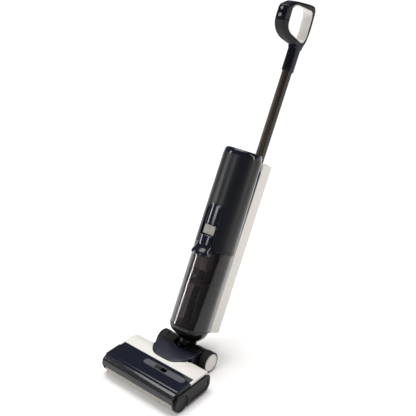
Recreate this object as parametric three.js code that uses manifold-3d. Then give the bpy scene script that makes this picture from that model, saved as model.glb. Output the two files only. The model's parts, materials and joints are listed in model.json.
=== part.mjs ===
// Cordless wet and dry floor scrubber: a floor head with a powered roller, and a column
// that reclines and swivels on it. Millimetres, +Z up, the front faces -Y.
// The origin is the middle of the squeegee's line on the floor.
import * as THREE from 'three';
import { mergeVertices } from 'three/addons/utils/BufferGeometryUtils.js';
import Module from 'manifold-3d';

const wasm = await Module();
wasm.setup();

// ---------- driving dimensions ----------
const GAP = 0.3;                // between pieces that touch
const ROUND = 28;               // sides of a large circle
const SMALL_ROUND = 16;         // sides of a small circle
const CORNER_STEPS = 3;         // steps of a rounded corner

// floor head
const HEAD_WIDTH = 285;
const ROLLER_RADIUS = 26;
const ROLLER_CORE_RADIUS = 17;
const ROLLER_BORE = 12;
const ROLLER_TO_SQUEEGEE = 7;
const COVER_HEADROOM = 15;      // panel top above the roller
const WINDOW_REACH = 7;         // window front ahead of the roller
const WINDOW_WALL = 2.5;
const PANEL_FRONT_SETBACK = 20;
const PANEL_REAR = 27;
const PANEL_WALL = 3;
const SHELL_DEPTH = 69;
const SHELL_WALL = 3;
const SIDE_COVER_THICKNESS = 4.2;
const SIDE_CHAMBER = 6.3;       // room for the belt beside the end wall
const END_WALL = 2;
const FLOOR_CLEARANCE = 6;      // underside of the chassis above the floor
const SQUEEGEE_THICKNESS = 3;
const SQUEEGEE_HEIGHT = 14;
const DUCT_WIDTH = 90;
const MOTOR_RADIUS = 15;
const MOTOR_PULLEY_RADIUS = 6.5;
const ROLLER_PULLEY_RADIUS = 13;
const BELT_THICKNESS = 1.5;
const PILL_LENGTH = 150;
const PILL_WIDTH = 21;
const PILL_CENTRE_X = 45;
const PILL_CENTRE_Y = 4;
const LATCH_LENGTH = 22;
const LATCH_TRAVEL = 18;
const LATCH_HALF_DEPTH = 6.5;

// wheels and the reclining joint
const WHEEL_RADIUS = 31;
const WHEEL_WIDTH = 23;
const WHEEL_SETBACK = 52;       // axle behind the white shell
const AXLE_RADIUS = 4;
const HUB_RADIUS = 26.5;
const HOUSING_HALF_WIDTH = 70;
const HOUSING_RADIUS = 30;
const TRUNNION_RADIUS = 23;
const TRUNNION_HALF_WIDTH = 27;
const ISLAND_RADIUS = 64;
const LEAN = THREE.MathUtils.degToRad(28.1);

// column, measured along the leaning axis from the axle, and rearwards from it
const BODY_FRONT = -84;
const BODY_BACK = 8;
const BODY_RADIUS = 60;
const BODY_TOP_RADIUS = 57;
const BODY_WALL = 2.5;
const NECK_RADIUS = 27;
const NECK_BACK = -8;           // swivel axis
const STEM_RADIUS = 22;
const STEM_BORE = 16;
const STEM_TOP = 44;
const BOWL_BOTTOM = 24.5;
const BOWL_TOP = 77;
const JAR_HEIGHT = 235;
const SHELL_BOTTOM = 327;
const SHELL_LENGTH = 267;
const CAP_HEIGHT = 18;
const STRIP_DEPTH = 3;
const SPINE_THICKNESS = 9;
const CLEAN_TANK_BOTTOM = 71;
const CLEAN_TANK_BACK = 84;
const CLEAN_TANK_HALF_WIDTH = 46;
const CLEAN_TANK_WALL = 2.5;
const FILL_CAP_RADIUS = 9;
const LIP_HALF_WIDTH = 32;
const RELEASE_HALF_WIDTH = 29;
const RELEASE_RIM = 4;          // glossy rim round the release button
const RECESS_HEIGHT = 32;
const RELEASE_HEIGHT = 61;
const LIP_REACH = 20;
const LIP_ROOT_HALF = 26.7;     // the lip's tongue through the jar's wall
const HOSE_RADIUS = 12;
const LENS_RADIUS = 30;
const MOTOR_HOUSING_RADIUS = 28;
const FLOAT_RADIUS = 9;
const TUBE_RADIUS = 9;

// pole and handle
const POLE_BACK = 61;
const POLE_WIDTH = 24;
const POLE_DEPTH = 27;
const POLE_WALL = 2;
const SOCKET_DEPTH = 64;
const SOCKET_WALL = 3;
const POLE_LENGTH = 420;        // from the socket floor to the handle's stop
const COLLAR_LENGTH = 74;
const COLLAR_WALL = 3;
const HANDLE_WIDTH = 34;
const HANDLE_BAR = 15;
const LINER_WALL = 3;
const BUTTON_TRAVEL = 1.5;

// ---------- derived places ----------
const HALF_WIDTH = HEAD_WIDTH / 2;
const ROLLER_Y = -(ROLLER_RADIUS + ROLLER_TO_SQUEEGEE);
const ROLLER_Z = ROLLER_RADIUS;
const PANEL_TOP = 2 * ROLLER_RADIUS + COVER_HEADROOM;
const HEAD_FRONT = ROLLER_Y - ROLLER_RADIUS - WINDOW_REACH;
const PANEL_FRONT = HEAD_FRONT + PANEL_FRONT_SETBACK;
const SHELL_REAR = PANEL_REAR + SHELL_DEPTH;
const COVER_INNER = HALF_WIDTH - SIDE_COVER_THICKNESS;
const WALL_OUTER = COVER_INNER - SIDE_CHAMBER - GAP;
const WALL_INNER = WALL_OUTER - END_WALL;
const FLOOR_TOP = FLOOR_CLEARANCE + 4;
const BAY_BACK = SQUEEGEE_THICKNESS / 2 + 2;
const SIDE_TOP = PANEL_TOP - 9;
const PANEL_HALF = WALL_OUTER + 0.5;
const LATCH_X = PILL_CENTRE_X - 33;
const MOTOR_Y = BAY_BACK + 36;
const MOTOR_Z = FLOOR_TOP + MOTOR_RADIUS + 9;
const PULLEY_X = [-COVER_INNER + 1.2, -COVER_INNER + 4.6];
const AXLE_Y = SHELL_REAR + WHEEL_SETBACK;
const WHEEL_INNER = HOUSING_HALF_WIDTH + 2;
const WHEEL_OUTER = WHEEL_INNER + WHEEL_WIDTH;
const JAR_BOTTOM = BOWL_TOP + GAP;
const JAR_TOP = JAR_BOTTOM + JAR_HEIGHT;
const SHELL_TOP = SHELL_BOTTOM + SHELL_LENGTH;
const CAP_TOP = SHELL_TOP + CAP_HEIGHT;
const STRIP_FRONT = BODY_BACK + GAP;
const SPINE_FRONT = STRIP_FRONT + STRIP_DEPTH + GAP;
const SPINE_BACK = SPINE_FRONT + SPINE_THICKNESS;
const CLEAN_TANK_TOP = SHELL_TOP - 3;
const SOCKET_FLOOR = CLEAN_TANK_TOP - SOCKET_DEPTH;
const COLLAR_BOTTOM = SOCKET_FLOOR + POLE_LENGTH - COLLAR_LENGTH;
const HANDLE_BASE = SOCKET_FLOOR + POLE_LENGTH;
const RECESS_BOTTOM = SHELL_BOTTOM + 25;
const RELEASE_BOTTOM = RECESS_BOTTOM + RECESS_HEIGHT;
const OPENING_HALF = RELEASE_HALF_WIDTH - RELEASE_RIM;
const LENS_Y = BODY_FRONT + BODY_TOP_RADIUS - 4;
const FILL_CENTRE = [CLEAN_TANK_HALF_WIDTH - 15, (SPINE_BACK + CLEAN_TANK_BACK) / 2 - 2];
const FLOAT_CENTRE = [-32, -30];
const FLOAT_LOW = JAR_BOTTOM + 150;
const STRAINER_Z = JAR_BOTTOM + 130;
const TUBE_CENTRE = [0, BODY_BACK - 22];

// ---------- shape helpers ----------
const along = {
  x: new THREE.Matrix4().set(0, 0, 1, 0, 1, 0, 0, 0, 0, 1, 0, 0, 0, 0, 0, 1),
  y: new THREE.Matrix4().makeRotationX(Math.PI / 2),
  z: new THREE.Matrix4(),
};

// A closed outline with its corners rounded: [a, b, setback of the rounding]
function outline(corners) {
  const shape = new THREE.Shape();
  const point = (i) => corners[(i + corners.length) % corners.length];
  const towards = (from, to, distance) => {
    const start = new THREE.Vector2(from[0], from[1]);
    const step = new THREE.Vector2(to[0], to[1]).sub(start);
    return start.addScaledVector(step, Math.min(distance / step.length(), 0.49));
  };
  corners.forEach((corner, i) => {
    const radius = corner[2] ?? 0;
    const before = towards(corner, point(i - 1), radius);
    const after = towards(corner, point(i + 1), radius);
    if (i === 0) shape.moveTo(before.x, before.y);
    else shape.lineTo(before.x, before.y);
    if (radius > 0) shape.quadraticCurveTo(corner[0], corner[1], after.x, after.y);
  });
  shape.closePath();
  return shape;
}

// An outline drawn in the other two axes, extruded from low to high along one axis
function extrude(axis, shape, low, high, bevel = 0) {
  const geometry = new THREE.ExtrudeGeometry(shape, {
    depth: high - low - 2 * bevel,
    curveSegments: CORNER_STEPS,
    bevelEnabled: bevel > 0,
    bevelThickness: bevel,
    bevelSize: bevel,
    bevelOffset: -bevel,
    bevelSegments: 2,
  });
  geometry.translate(0, 0, axis === 'y' ? -high + bevel : low + bevel);
  return geometry.applyMatrix4(along[axis]);
}

function box(x, y, z) {
  const geometry = new THREE.BoxGeometry(x[1] - x[0], y[1] - y[0], z[1] - z[0]);
  return geometry.translate((x[0] + x[1]) / 2, (y[0] + y[1]) / 2, (z[0] + z[1]) / 2);
}

// A round rod from low to high along an axis; centre gives the other two coordinates in order
function rod(axis, radius, low, high, centre, sides = SMALL_ROUND) {
  const circle = new THREE.Shape();
  for (let i = 0; i < sides; i += 1) {
    const angle = (2 * Math.PI * (i + 0.5)) / sides;
    const a = centre[0] + radius * Math.cos(angle);
    const b = centre[1] + radius * Math.sin(angle);
    if (i === 0) circle.moveTo(a, b);
    else circle.lineTo(a, b);
  }
  circle.closePath();
  return extrude(axis, circle, low, high);
}

// A solid through a stack of level sections, each with the same number of points
function loft(sections) {
  const count = sections[0].points.length;
  const vertices = sections.flatMap(({ z, points }) => points.flatMap(([x, y]) => [x, y, z]));
  const faces = [];
  for (let level = 0; level + 1 < sections.length; level += 1) {
    for (let i = 0; i < count; i += 1) {
      const a = level * count + i;
      const b = level * count + ((i + 1) % count);
      faces.push(a, b, b + count, a, b + count, a + count);
    }
  }
  const cap = (level, upwards) => {
    const outer = sections[level].points.map(([x, y]) => new THREE.Vector2(x, y));
    for (const [a, b, c] of THREE.ShapeUtils.triangulateShape(outer, [])) {
      const base = level * count;
      if (upwards) faces.push(base + a, base + b, base + c);
      else faces.push(base + a, base + c, base + b);
    }
  };
  cap(0, false);
  cap(sections.length - 1, true);
  const geometry = new THREE.BufferGeometry();
  geometry.setAttribute('position', new THREE.Float32BufferAttribute(vertices, 3));
  geometry.setIndex(faces);
  return geometry;
}

// The column's section: round at the front, flat at the back
function roundFront(radius, centre, back, steps = ROUND) {
  const rise = Math.asin(Math.max(-1, Math.min(1, (back - centre) / radius)));
  const points = [];
  for (let i = 0; i <= steps; i += 1) {
    const angle = Math.PI - rise + ((Math.PI + 2 * rise) * i) / steps;
    points.push([radius * Math.cos(angle), centre + radius * Math.sin(angle)]);
  }
  return points;
}

// The same section of the body at a height, drawn in by an inset
function bodySection(z, inset = 0) {
  const share = THREE.MathUtils.clamp((z - SHELL_BOTTOM) / SHELL_LENGTH, 0, 1);
  const radius = THREE.MathUtils.lerp(BODY_RADIUS, BODY_TOP_RADIUS, share);
  return { z, points: roundFront(radius - inset, BODY_FRONT + radius, BODY_BACK - inset) };
}

function solid(shape) {
  if (!shape.isBufferGeometry) return shape;
  const bare = shape.clone();
  bare.deleteAttribute('normal');
  bare.deleteAttribute('uv');
  const merged = mergeVertices(bare, 1e-4);
  return new wasm.Manifold(new wasm.Mesh({
    numProp: 3,
    vertProperties: new Float32Array(merged.attributes.position.array),
    triVerts: new Uint32Array(merged.index.array),
  }));
}

const join = (first, ...others) => others.reduce((sum, next) => sum.add(solid(next)), solid(first));
const cut = (first, ...others) => others.reduce((rest, tool) => rest.subtract(solid(tool)), solid(first));
const common = (first, second) => solid(first).intersect(solid(second));

function geometryOf(shape) {
  if (shape.isBufferGeometry) return shape;
  const mesh = shape.getMesh();
  const geometry = new THREE.BufferGeometry();
  geometry.setAttribute('position', new THREE.BufferAttribute(mesh.vertProperties, 3));
  geometry.setIndex(new THREE.BufferAttribute(mesh.triVerts, 1));
  return geometry;
}

const finishes = {
  navyGloss: { color: 0x11141f, roughness: 0.16, metalness: 0 },
  navySatin: { color: 0x222835, roughness: 0.45, metalness: 0 },
  blackGloss: { color: 0x0a0b0e, roughness: 0.18, metalness: 0 },
  blackMatte: { color: 0x17181b, roughness: 0.6, metalness: 0 },
  charcoal: { color: 0x20242b, roughness: 0.42, metalness: 0 },
  white: { color: 0xf1efea, roughness: 0.28, metalness: 0 },
  warmGrey: { color: 0xb9b3ab, roughness: 0.5, metalness: 0 },
  pillGrey: { color: 0x55585f, roughness: 0.4, metalness: 0 },
  silver: { color: 0x8d8f90, roughness: 0.32, metalness: 0.8 },
  steel: { color: 0xa9adb2, roughness: 0.3, metalness: 1 },
  bronze: { color: 0x26221e, roughness: 0.3, metalness: 0.6 },
  rubber: { color: 0x0d0d0e, roughness: 0.75, metalness: 0 },
  pile: { color: 0xcfc8ba, roughness: 0.95, metalness: 0 },
  smoke: { color: 0x2b2c33, roughness: 0.08, metalness: 0, transparent: true, opacity: 0.45 },
  clear: { color: 0xa9b0b4, roughness: 0.05, metalness: 0, transparent: true, opacity: 0.35 },
  board: { color: 0x1f4d33, roughness: 0.5, metalness: 0 },
};

function piece(name, shape, finish) {
  const mesh = new THREE.Mesh(geometryOf(shape), new THREE.MeshStandardMaterial(finishes[finish]));
  mesh.name = name;
  return mesh;
}

const sides = [['left', -1], ['right', 1]];
const span = (side, inner, outer) => (side < 0 ? [-outer, -inner] : [inner, outer]);

// ---------- floor head ----------
const sideProfile = (inset) => outline([
  [ROLLER_Y - ROLLER_RADIUS / 2, FLOOR_CLEARANCE + 2 + inset], [ROLLER_Y - ROLLER_RADIUS + 4 + inset, ROLLER_Z - 8, 6],
  [ROLLER_Y - ROLLER_RADIUS + 3 + inset, ROLLER_Z + 8, 6], [HEAD_FRONT + 9 + inset, SIDE_TOP - 15],
  [PANEL_FRONT + 2 + inset, SIDE_TOP - inset, 4], [SHELL_REAR - 12 - inset, SIDE_TOP - 3 - inset, 6],
  [SHELL_REAR - 8 - inset, 42, 4], [SHELL_REAR - 10 - inset, 20, 6],
  [SHELL_REAR - 24 - inset, FLOOR_CLEARANCE + inset, 6]]);

function rearArm(side) {
  const profile = outline([[SHELL_REAR - 20, FLOOR_CLEARANCE + 2], [AXLE_Y + 4, 14],
    [AXLE_Y + 16, WHEEL_RADIUS, 6], [AXLE_Y + 4, WHEEL_RADIUS + 16, 6],
    [SHELL_REAR - 20, SIDE_TOP - 16]]);
  const [low, high] = span(side, TRUNNION_HALF_WIDTH + 15, TRUNNION_HALF_WIDTH + 37);
  return extrude('x', profile, low, high);
}

function headChassis() {
  const floor = box([-WALL_INNER - 1, WALL_INNER + 1], [BAY_BACK, SHELL_REAR - 15], [FLOOR_CLEARANCE, FLOOR_TOP]);
  const bayWall = box([-WALL_INNER - 1, WALL_INNER + 1], [BAY_BACK, BAY_BACK + 3], [FLOOR_CLEARANCE, SIDE_TOP - 4]);
  const mouth = box([-DUCT_WIDTH / 2, DUCT_WIDTH / 2], [0, BAY_BACK + 9], [16, 42]);
  const leftWall = extrude('x', sideProfile(1), -WALL_OUTER, -WALL_INNER);
  const rightWall = extrude('x', outline([[ROLLER_Y + 8, FLOOR_CLEARANCE + 3],
    [ROLLER_Y - 6, SIDE_TOP - 2], [SHELL_REAR - 13, SIDE_TOP - 4, 6], [SHELL_REAR - 9, 42, 4],
    [SHELL_REAR - 11, 20, 6], [SHELL_REAR - 25, FLOOR_CLEARANCE + 1, 6]]), WALL_INNER, WALL_OUTER);
  const couplerHole = rod('x', ROLLER_BORE + 0.8, -WALL_OUTER - 1, -WALL_INNER + 1, [ROLLER_Y, ROLLER_Z]);
  const rollerHole = rod('x', ROLLER_RADIUS + 0.6, WALL_INNER - 1, WALL_OUTER + 1, [ROLLER_Y, ROLLER_Z], ROUND);
  const motorHole = rod('x', 6, -WALL_OUTER - 1, -WALL_INNER + 1, [MOTOR_Y, MOTOR_Z]);
  const arms = sides.map(([, side]) => rearArm(side));
  const roofs = sides.map(([, side]) => box(
    span(side, WALL_INNER + 1, COVER_INNER), [PANEL_FRONT + 6, SHELL_REAR - 30], [SIDE_TOP - 5, SIDE_TOP - 2.5]));
  const endRails = sides.map(([, side]) => box(
    span(side, PANEL_HALF + 0.5, COVER_INNER), [PANEL_FRONT + 3, PANEL_REAR - 17 - GAP], [SIDE_TOP - 5, PANEL_TOP - 1.5]));
  const axleHole = rod('x', AXLE_RADIUS + GAP, -HALF_WIDTH, HALF_WIDTH, [AXLE_Y, WHEEL_RADIUS]);
  const shellRoom = sides.map(([, side]) => box(
    span(side, WALL_INNER - 1, HALF_WIDTH), [SHELL_REAR - 21.5, SHELL_REAR], [FLOOR_TOP, PANEL_TOP]));
  const frame = join(floor, bayWall, leftWall, rightWall, ...roofs, ...endRails, ...arms);
  return cut(frame, ...shellRoom, mouth, couplerHole, rollerHole, motorHole, axleHole);
}

function shellBlock(inset) {
  const top = PANEL_TOP - inset;
  const rear = SHELL_REAR - inset;
  const profile = outline([[PANEL_REAR + 0.5 + inset, -5], [PANEL_REAR + 0.5 + inset, top],
    [SHELL_REAR - 36, top - 0.5], [rear - 8, top - 8, 10], [rear, top - 24, 8],
    [rear, inset > 0 ? -5 : FLOOR_TOP + 2]]);
  const half = COVER_INNER - 0.5 - inset;
  const plan = outline([[-half, PANEL_REAR - 5], [half, PANEL_REAR - 5],
    [half, rear - 4, 20], [half * 0.55, rear + 1, 12], [-half * 0.55, rear + 1, 12], [-half, rear - 4, 20]]);
  return common(extrude('x', profile, -half, half), extrude('z', plan, -10, PANEL_TOP + 5));
}

function headShell() {
  const underSides = box([-HALF_WIDTH, HALF_WIDTH], [0, SHELL_REAR - 21], [-20, SIDE_TOP + GAP]);
  const rails = sides.map(([, side]) => box(
    span(side, PANEL_HALF + 0.5, COVER_INNER - 0.5), [PANEL_REAR - 17, PANEL_REAR + 5], [SIDE_TOP + GAP, PANEL_TOP - 1]));
  const saddle = extrude('z', islandPlan(-GAP), 0, PANEL_TOP + 5);
  const saddleSeat = common(saddle, box([-90, 90], [0, AXLE_Y], [PANEL_TOP - 6, PANEL_TOP + 5]));
  const rearPassage = box([-HOUSING_HALF_WIDTH - 1, HOUSING_HALF_WIDTH + 1], [SHELL_REAR - 16, SHELL_REAR + 9], [-5, PANEL_TOP + 5]);
  const armSlots = sides.map(([, side]) => box(
    span(side, TRUNNION_HALF_WIDTH + 14, TRUNNION_HALF_WIDTH + 38), [SHELL_REAR - 26, SHELL_REAR], [0, SIDE_TOP - 4]));
  const hollow = cut(shellBlock(0), shellBlock(SHELL_WALL), underSides, rearPassage, ...armSlots);
  return cut(join(hollow, ...rails), saddleSeat);
}

// Plan outline of the island that the column stands in, wider where it meets the wheel housings
function islandPlan(inset = 0) {
  const front = SHELL_REAR + 10 - ISLAND_RADIUS + inset;
  const half = ISLAND_RADIUS - inset;
  const wide = HOUSING_HALF_WIDTH - inset;
  return outline([[-half * 0.55, front, 18], [half * 0.55, front, 18], [half, front + 30, 18],
    [half, SHELL_REAR - 8, 6], [wide, SHELL_REAR + 2, 4], [wide, AXLE_Y], [-wide, AXLE_Y],
    [-wide, SHELL_REAR + 2, 4], [-half, SHELL_REAR - 8, 6], [-half, front + 30, 18]]);
}

function neckFairing() {
  const island = extrude('z', islandPlan(), PANEL_TOP - 5.7, PANEL_TOP + 1.5);
  const frontOnly = box([-90, 90], [0, SHELL_REAR + 12], [0, 100]);
  const housing = rod('x', HOUSING_RADIUS, -HOUSING_HALF_WIDTH, HOUSING_HALF_WIDTH, [AXLE_Y, WHEEL_RADIUS], ROUND);
  const bridge = extrude('x', outline([[SHELL_REAR - 6, PANEL_TOP - 5.7], [SHELL_REAR - 6, PANEL_TOP + 1.5],
    [SHELL_REAR + 20, PANEL_TOP + 1, 10], [AXLE_Y - 4, WHEEL_RADIUS + HOUSING_RADIUS - 0.5], [AXLE_Y - 4, WHEEL_RADIUS],
    [SHELL_REAR + 2, WHEEL_RADIUS]]), -HOUSING_HALF_WIDTH, HOUSING_HALF_WIDTH);
  const armPockets = sides.map(([, side]) => extrude('x', outline([
    [SHELL_REAR - 30, -5], [AXLE_Y + 5, -5], [AXLE_Y + 16.6, WHEEL_RADIUS, 6],
    [AXLE_Y + 4.6, WHEEL_RADIUS + 16.6, 6], [SHELL_REAR - 30, SIDE_TOP - 14]]),
  ...span(side, TRUNNION_HALF_WIDTH + 14.4, TRUNNION_HALF_WIDTH + 37.6)));
  const well = TRUNNION_HALF_WIDTH + 2.5;
  const neckWell = extrude('z', outline([[-well, AXLE_Y - 38, 25], [well, AXLE_Y - 38, 25],
    [well, AXLE_Y + 60], [-well, AXLE_Y + 60]]), -5, 120);
  const underside = box([-90, 90], [0, AXLE_Y + 60], [-5, FLOOR_CLEARANCE]);
  const axleHole = rod('x', AXLE_RADIUS + GAP, -HALF_WIDTH, HALF_WIDTH, [AXLE_Y, WHEEL_RADIUS]);
  const ductPassage = box([-26, 26], [SHELL_REAR - 20, AXLE_Y], [-5, 50]);
  return cut(join(common(island, frontOnly), housing, bridge), ...armPockets, neckWell, underside, axleHole, ductPassage);
}

function sideCover(side) {
  const [low, high] = span(side, COVER_INNER + GAP, HALF_WIDTH);
  const plate = extrude('x', sideProfile(0), low, high, 1.2);
  const [pocketLow, pocketHigh] = span(side, HALF_WIDTH - 1.8, HALF_WIDTH + 1);
  const pocket = extrude('x', outline([[ROLLER_Y + 34, 22, 4], [ROLLER_Y + 30, SIDE_TOP - 13, 6],
    [SHELL_REAR - 19, SIDE_TOP - 11, 8], [SHELL_REAR - 17, 26, 8], [SHELL_REAR - 30, 14, 6],
    [ROLLER_Y + 37, 14, 4]]), pocketLow, pocketHigh);
  if (side < 0) return cut(plate, pocket);
  const capBay = rod('x', ROLLER_RADIUS + 0.6, COVER_INNER, HALF_WIDTH + 1, [ROLLER_Y, ROLLER_Z], ROUND);
  const front = box([COVER_INNER, HALF_WIDTH + 1], [HEAD_FRONT - 5, ROLLER_Y], [-5, ROLLER_Z + 18]);
  return cut(plate, pocket, capBay, front);
}

// Tapering duct from the wide mouth behind the roller to the hose
function suctionDuct() {
  const section = (y, half, low, high) => (
    { z: y, points: [[-half, -high], [half, -high], [half, -low], [-half, -low]] });
  const tube = (inset) => loft([
    section(BAY_BACK + 3 + GAP - inset / 2, DUCT_WIDTH / 2 - 1 - inset, 17 + inset, 41 - inset),
    section(SHELL_REAR - 30, 20 - inset, 15 + inset, 43 - inset),
    section(SHELL_REAR + 1 + inset / 2, 16 - inset, 16 + inset, 46 - inset)]).rotateX(-Math.PI / 2);
  return cut(tube(0), tube(2));
}

function driveBelt() {
  const loop = (extra) => join(
    rod('x', MOTOR_PULLEY_RADIUS + extra, ...PULLEY_X, [MOTOR_Y, MOTOR_Z]),
    rod('x', ROLLER_PULLEY_RADIUS + extra, ...PULLEY_X, [ROLLER_Y, ROLLER_Z], ROUND),
    extrude('x', beltWeb(MOTOR_PULLEY_RADIUS + extra, ROLLER_PULLEY_RADIUS + extra), ...PULLEY_X));
  return cut(loop(GAP + BELT_THICKNESS), loop(GAP));
}

// Four-sided web between two circles, touching both
function beltWeb(smallRadius, largeRadius) {
  const direction = Math.atan2(MOTOR_Z - ROLLER_Z, MOTOR_Y - ROLLER_Y);
  const distance = Math.hypot(MOTOR_Z - ROLLER_Z, MOTOR_Y - ROLLER_Y);
  const tilt = Math.acos((largeRadius - smallRadius) / distance);
  const at = (y, z, radius, sign) => [y + radius * Math.cos(direction + sign * tilt), z + radius * Math.sin(direction + sign * tilt)];
  return outline([at(ROLLER_Y, ROLLER_Z, largeRadius, -1), at(MOTOR_Y, MOTOR_Z, smallRadius, -1),
    at(MOTOR_Y, MOTOR_Z, smallRadius, 1), at(ROLLER_Y, ROLLER_Z, largeRadius, 1)]);
}

function driveCoupler() {
  const pulley = rod('x', ROLLER_PULLEY_RADIUS, ...PULLEY_X, [ROLLER_Y, ROLLER_Z], ROUND);
  const shaft = rod('x', ROLLER_BORE - 2.6, PULLEY_X[0], -WALL_INNER + 22, [ROLLER_Y, ROLLER_Z], 6);
  return join(pulley, shaft);
}

function motorPulley() {
  const pulley = rod('x', MOTOR_PULLEY_RADIUS, ...PULLEY_X, [MOTOR_Y, MOTOR_Z]);
  const shaft = rod('x', 2.5, PULLEY_X[0], -WALL_INNER + 1, [MOTOR_Y, MOTOR_Z], 8);
  return join(pulley, shaft);
}

function brushMotor() {
  const can = rod('x', MOTOR_RADIUS, -WALL_INNER + 1 + GAP, -DUCT_WIDTH / 2 - 6, [MOTOR_Y, MOTOR_Z], ROUND);
  const nose = rod('x', 5.4, -WALL_INNER - 1.5, -WALL_INNER + 2, [MOTOR_Y, MOTOR_Z]);
  const shaftHole = rod('x', 2.9, -WALL_OUTER, -WALL_INNER + 4, [MOTOR_Y, MOTOR_Z], 8);
  return cut(join(can, nose), shaftHole);
}

function rollerCoverPanel() {
  const top = extrude('x', outline([[PANEL_REAR, PANEL_TOP - PANEL_WALL], [PANEL_REAR, PANEL_TOP, 1.5],
    [PANEL_FRONT + 6, PANEL_TOP, 5], [PANEL_FRONT + 0.4, PANEL_TOP - 3.5], [PANEL_FRONT + 1.4, PANEL_TOP - 6],
    [PANEL_FRONT + 7, PANEL_TOP - PANEL_WALL]]), -PANEL_HALF, PANEL_HALF);
  const plan = extrude('z', outline([[-PANEL_HALF, PANEL_FRONT - 1], [PANEL_HALF, PANEL_FRONT - 1],
    [PANEL_HALF, PANEL_REAR, 9], [-PANEL_HALF, PANEL_REAR, 9]]), 0, PANEL_TOP + 1);
  const pocket = extrude('z', stadium(PILL_CENTRE_X, PILL_CENTRE_Y, PILL_LENGTH, PILL_WIDTH), PANEL_TOP - 1.4, PANEL_TOP + 1);
  const slot = box([LATCH_X - 1, LATCH_X + LATCH_LENGTH + LATCH_TRAVEL + 1],
    [PILL_CENTRE_Y - LATCH_HALF_DEPTH - 0.5, PILL_CENTRE_Y + LATCH_HALF_DEPTH + 0.5], [0, PANEL_TOP + 1]);
  return cut(common(top, plan), pocket, slot);
}

function stadium(centreX, centreY, length, width) {
  const x = length / 2;
  const y = width / 2;
  return outline([[centreX - x, centreY - y, y], [centreX + x, centreY - y, y],
    [centreX + x, centreY + y, y], [centreX - x, centreY + y, y]]);
}

function latchPlate() {
  const plate = extrude('z', stadium(PILL_CENTRE_X, PILL_CENTRE_Y, PILL_LENGTH - 2 * GAP, PILL_WIDTH - 2 * GAP),
    PANEL_TOP - 1.4 + GAP, PANEL_TOP + 0.6);
  const slot = box([LATCH_X - 1, LATCH_X + LATCH_LENGTH + LATCH_TRAVEL + 1],
    [PILL_CENTRE_Y - LATCH_HALF_DEPTH - 0.5, PILL_CENTRE_Y + LATCH_HALF_DEPTH + 0.5], [0, PANEL_TOP + 2]);
  return cut(plate, slot);
}

function coverLatch() {
  const slider = box([LATCH_X, LATCH_X + LATCH_LENGTH], [PILL_CENTRE_Y - LATCH_HALF_DEPTH, PILL_CENTRE_Y + LATCH_HALF_DEPTH],
    [PANEL_TOP - PANEL_WALL - 1, PANEL_TOP + 0.8]);
  const ribs = [0, 1, 2].map((i) => box([LATCH_X + 4 + 6 * i, LATCH_X + 6 + 6 * i],
    [PILL_CENTRE_Y - 5, PILL_CENTRE_Y + 5], [PANEL_TOP, PANEL_TOP + 2]));
  return join(slider, ...ribs);
}

function rollerWindow() {
  const front = (inset) => outline([
    [PANEL_FRONT - 0.2, PANEL_TOP - 2.6 - inset], [HEAD_FRONT + 4 + inset * 0.7, PANEL_TOP - 6 - inset * 0.8, 14],
    [HEAD_FRONT + inset, ROLLER_Z + 9], [HEAD_FRONT + 20, ROLLER_Z + 9], [PANEL_FRONT - 0.2, PANEL_TOP - 20]]);
  const half = WALL_OUTER + 2;
  const skin = cut(extrude('x', front(0), -half, half), extrude('x', front(WINDOW_WALL), -half - 1, half + 1));
  return common(skin, box([-half, half], [HEAD_FRONT - 1, PANEL_FRONT - 0.2], [ROLLER_Z + 13, PANEL_TOP]));
}

function rollerEndCap() {
  const disc = rod('x', ROLLER_RADIUS - 1.5, WALL_INNER - 0.5, HALF_WIDTH - 1, [ROLLER_Y, ROLLER_Z], ROUND);
  const plug = rod('x', ROLLER_RADIUS, WALL_INNER - 0.5, COVER_INNER, [ROLLER_Y, ROLLER_Z], ROUND);
  const boss = rod('x', ROLLER_BORE - GAP, WALL_INNER - 16, WALL_INNER, [ROLLER_Y, ROLLER_Z]);
  const dish = rod('x', ROLLER_RADIUS - 5.5, HALF_WIDTH - 2.6, HALF_WIDTH + 1, [ROLLER_Y, ROLLER_Z], ROUND);
  const pull = box([HALF_WIDTH - 5, HALF_WIDTH + 1], [ROLLER_Y - 3, ROLLER_Y + 3], [ROLLER_Z - 14, ROLLER_Z + 14]);
  return cut(join(disc, plug, boss), dish, pull);
}

const ring = (axis, outer, inner, low, high, centre, sidesCount = ROUND) => cut(
  rod(axis, outer, low, high, centre, sidesCount), rod(axis, inner, low - 1, high + 1, centre, sidesCount));

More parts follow.
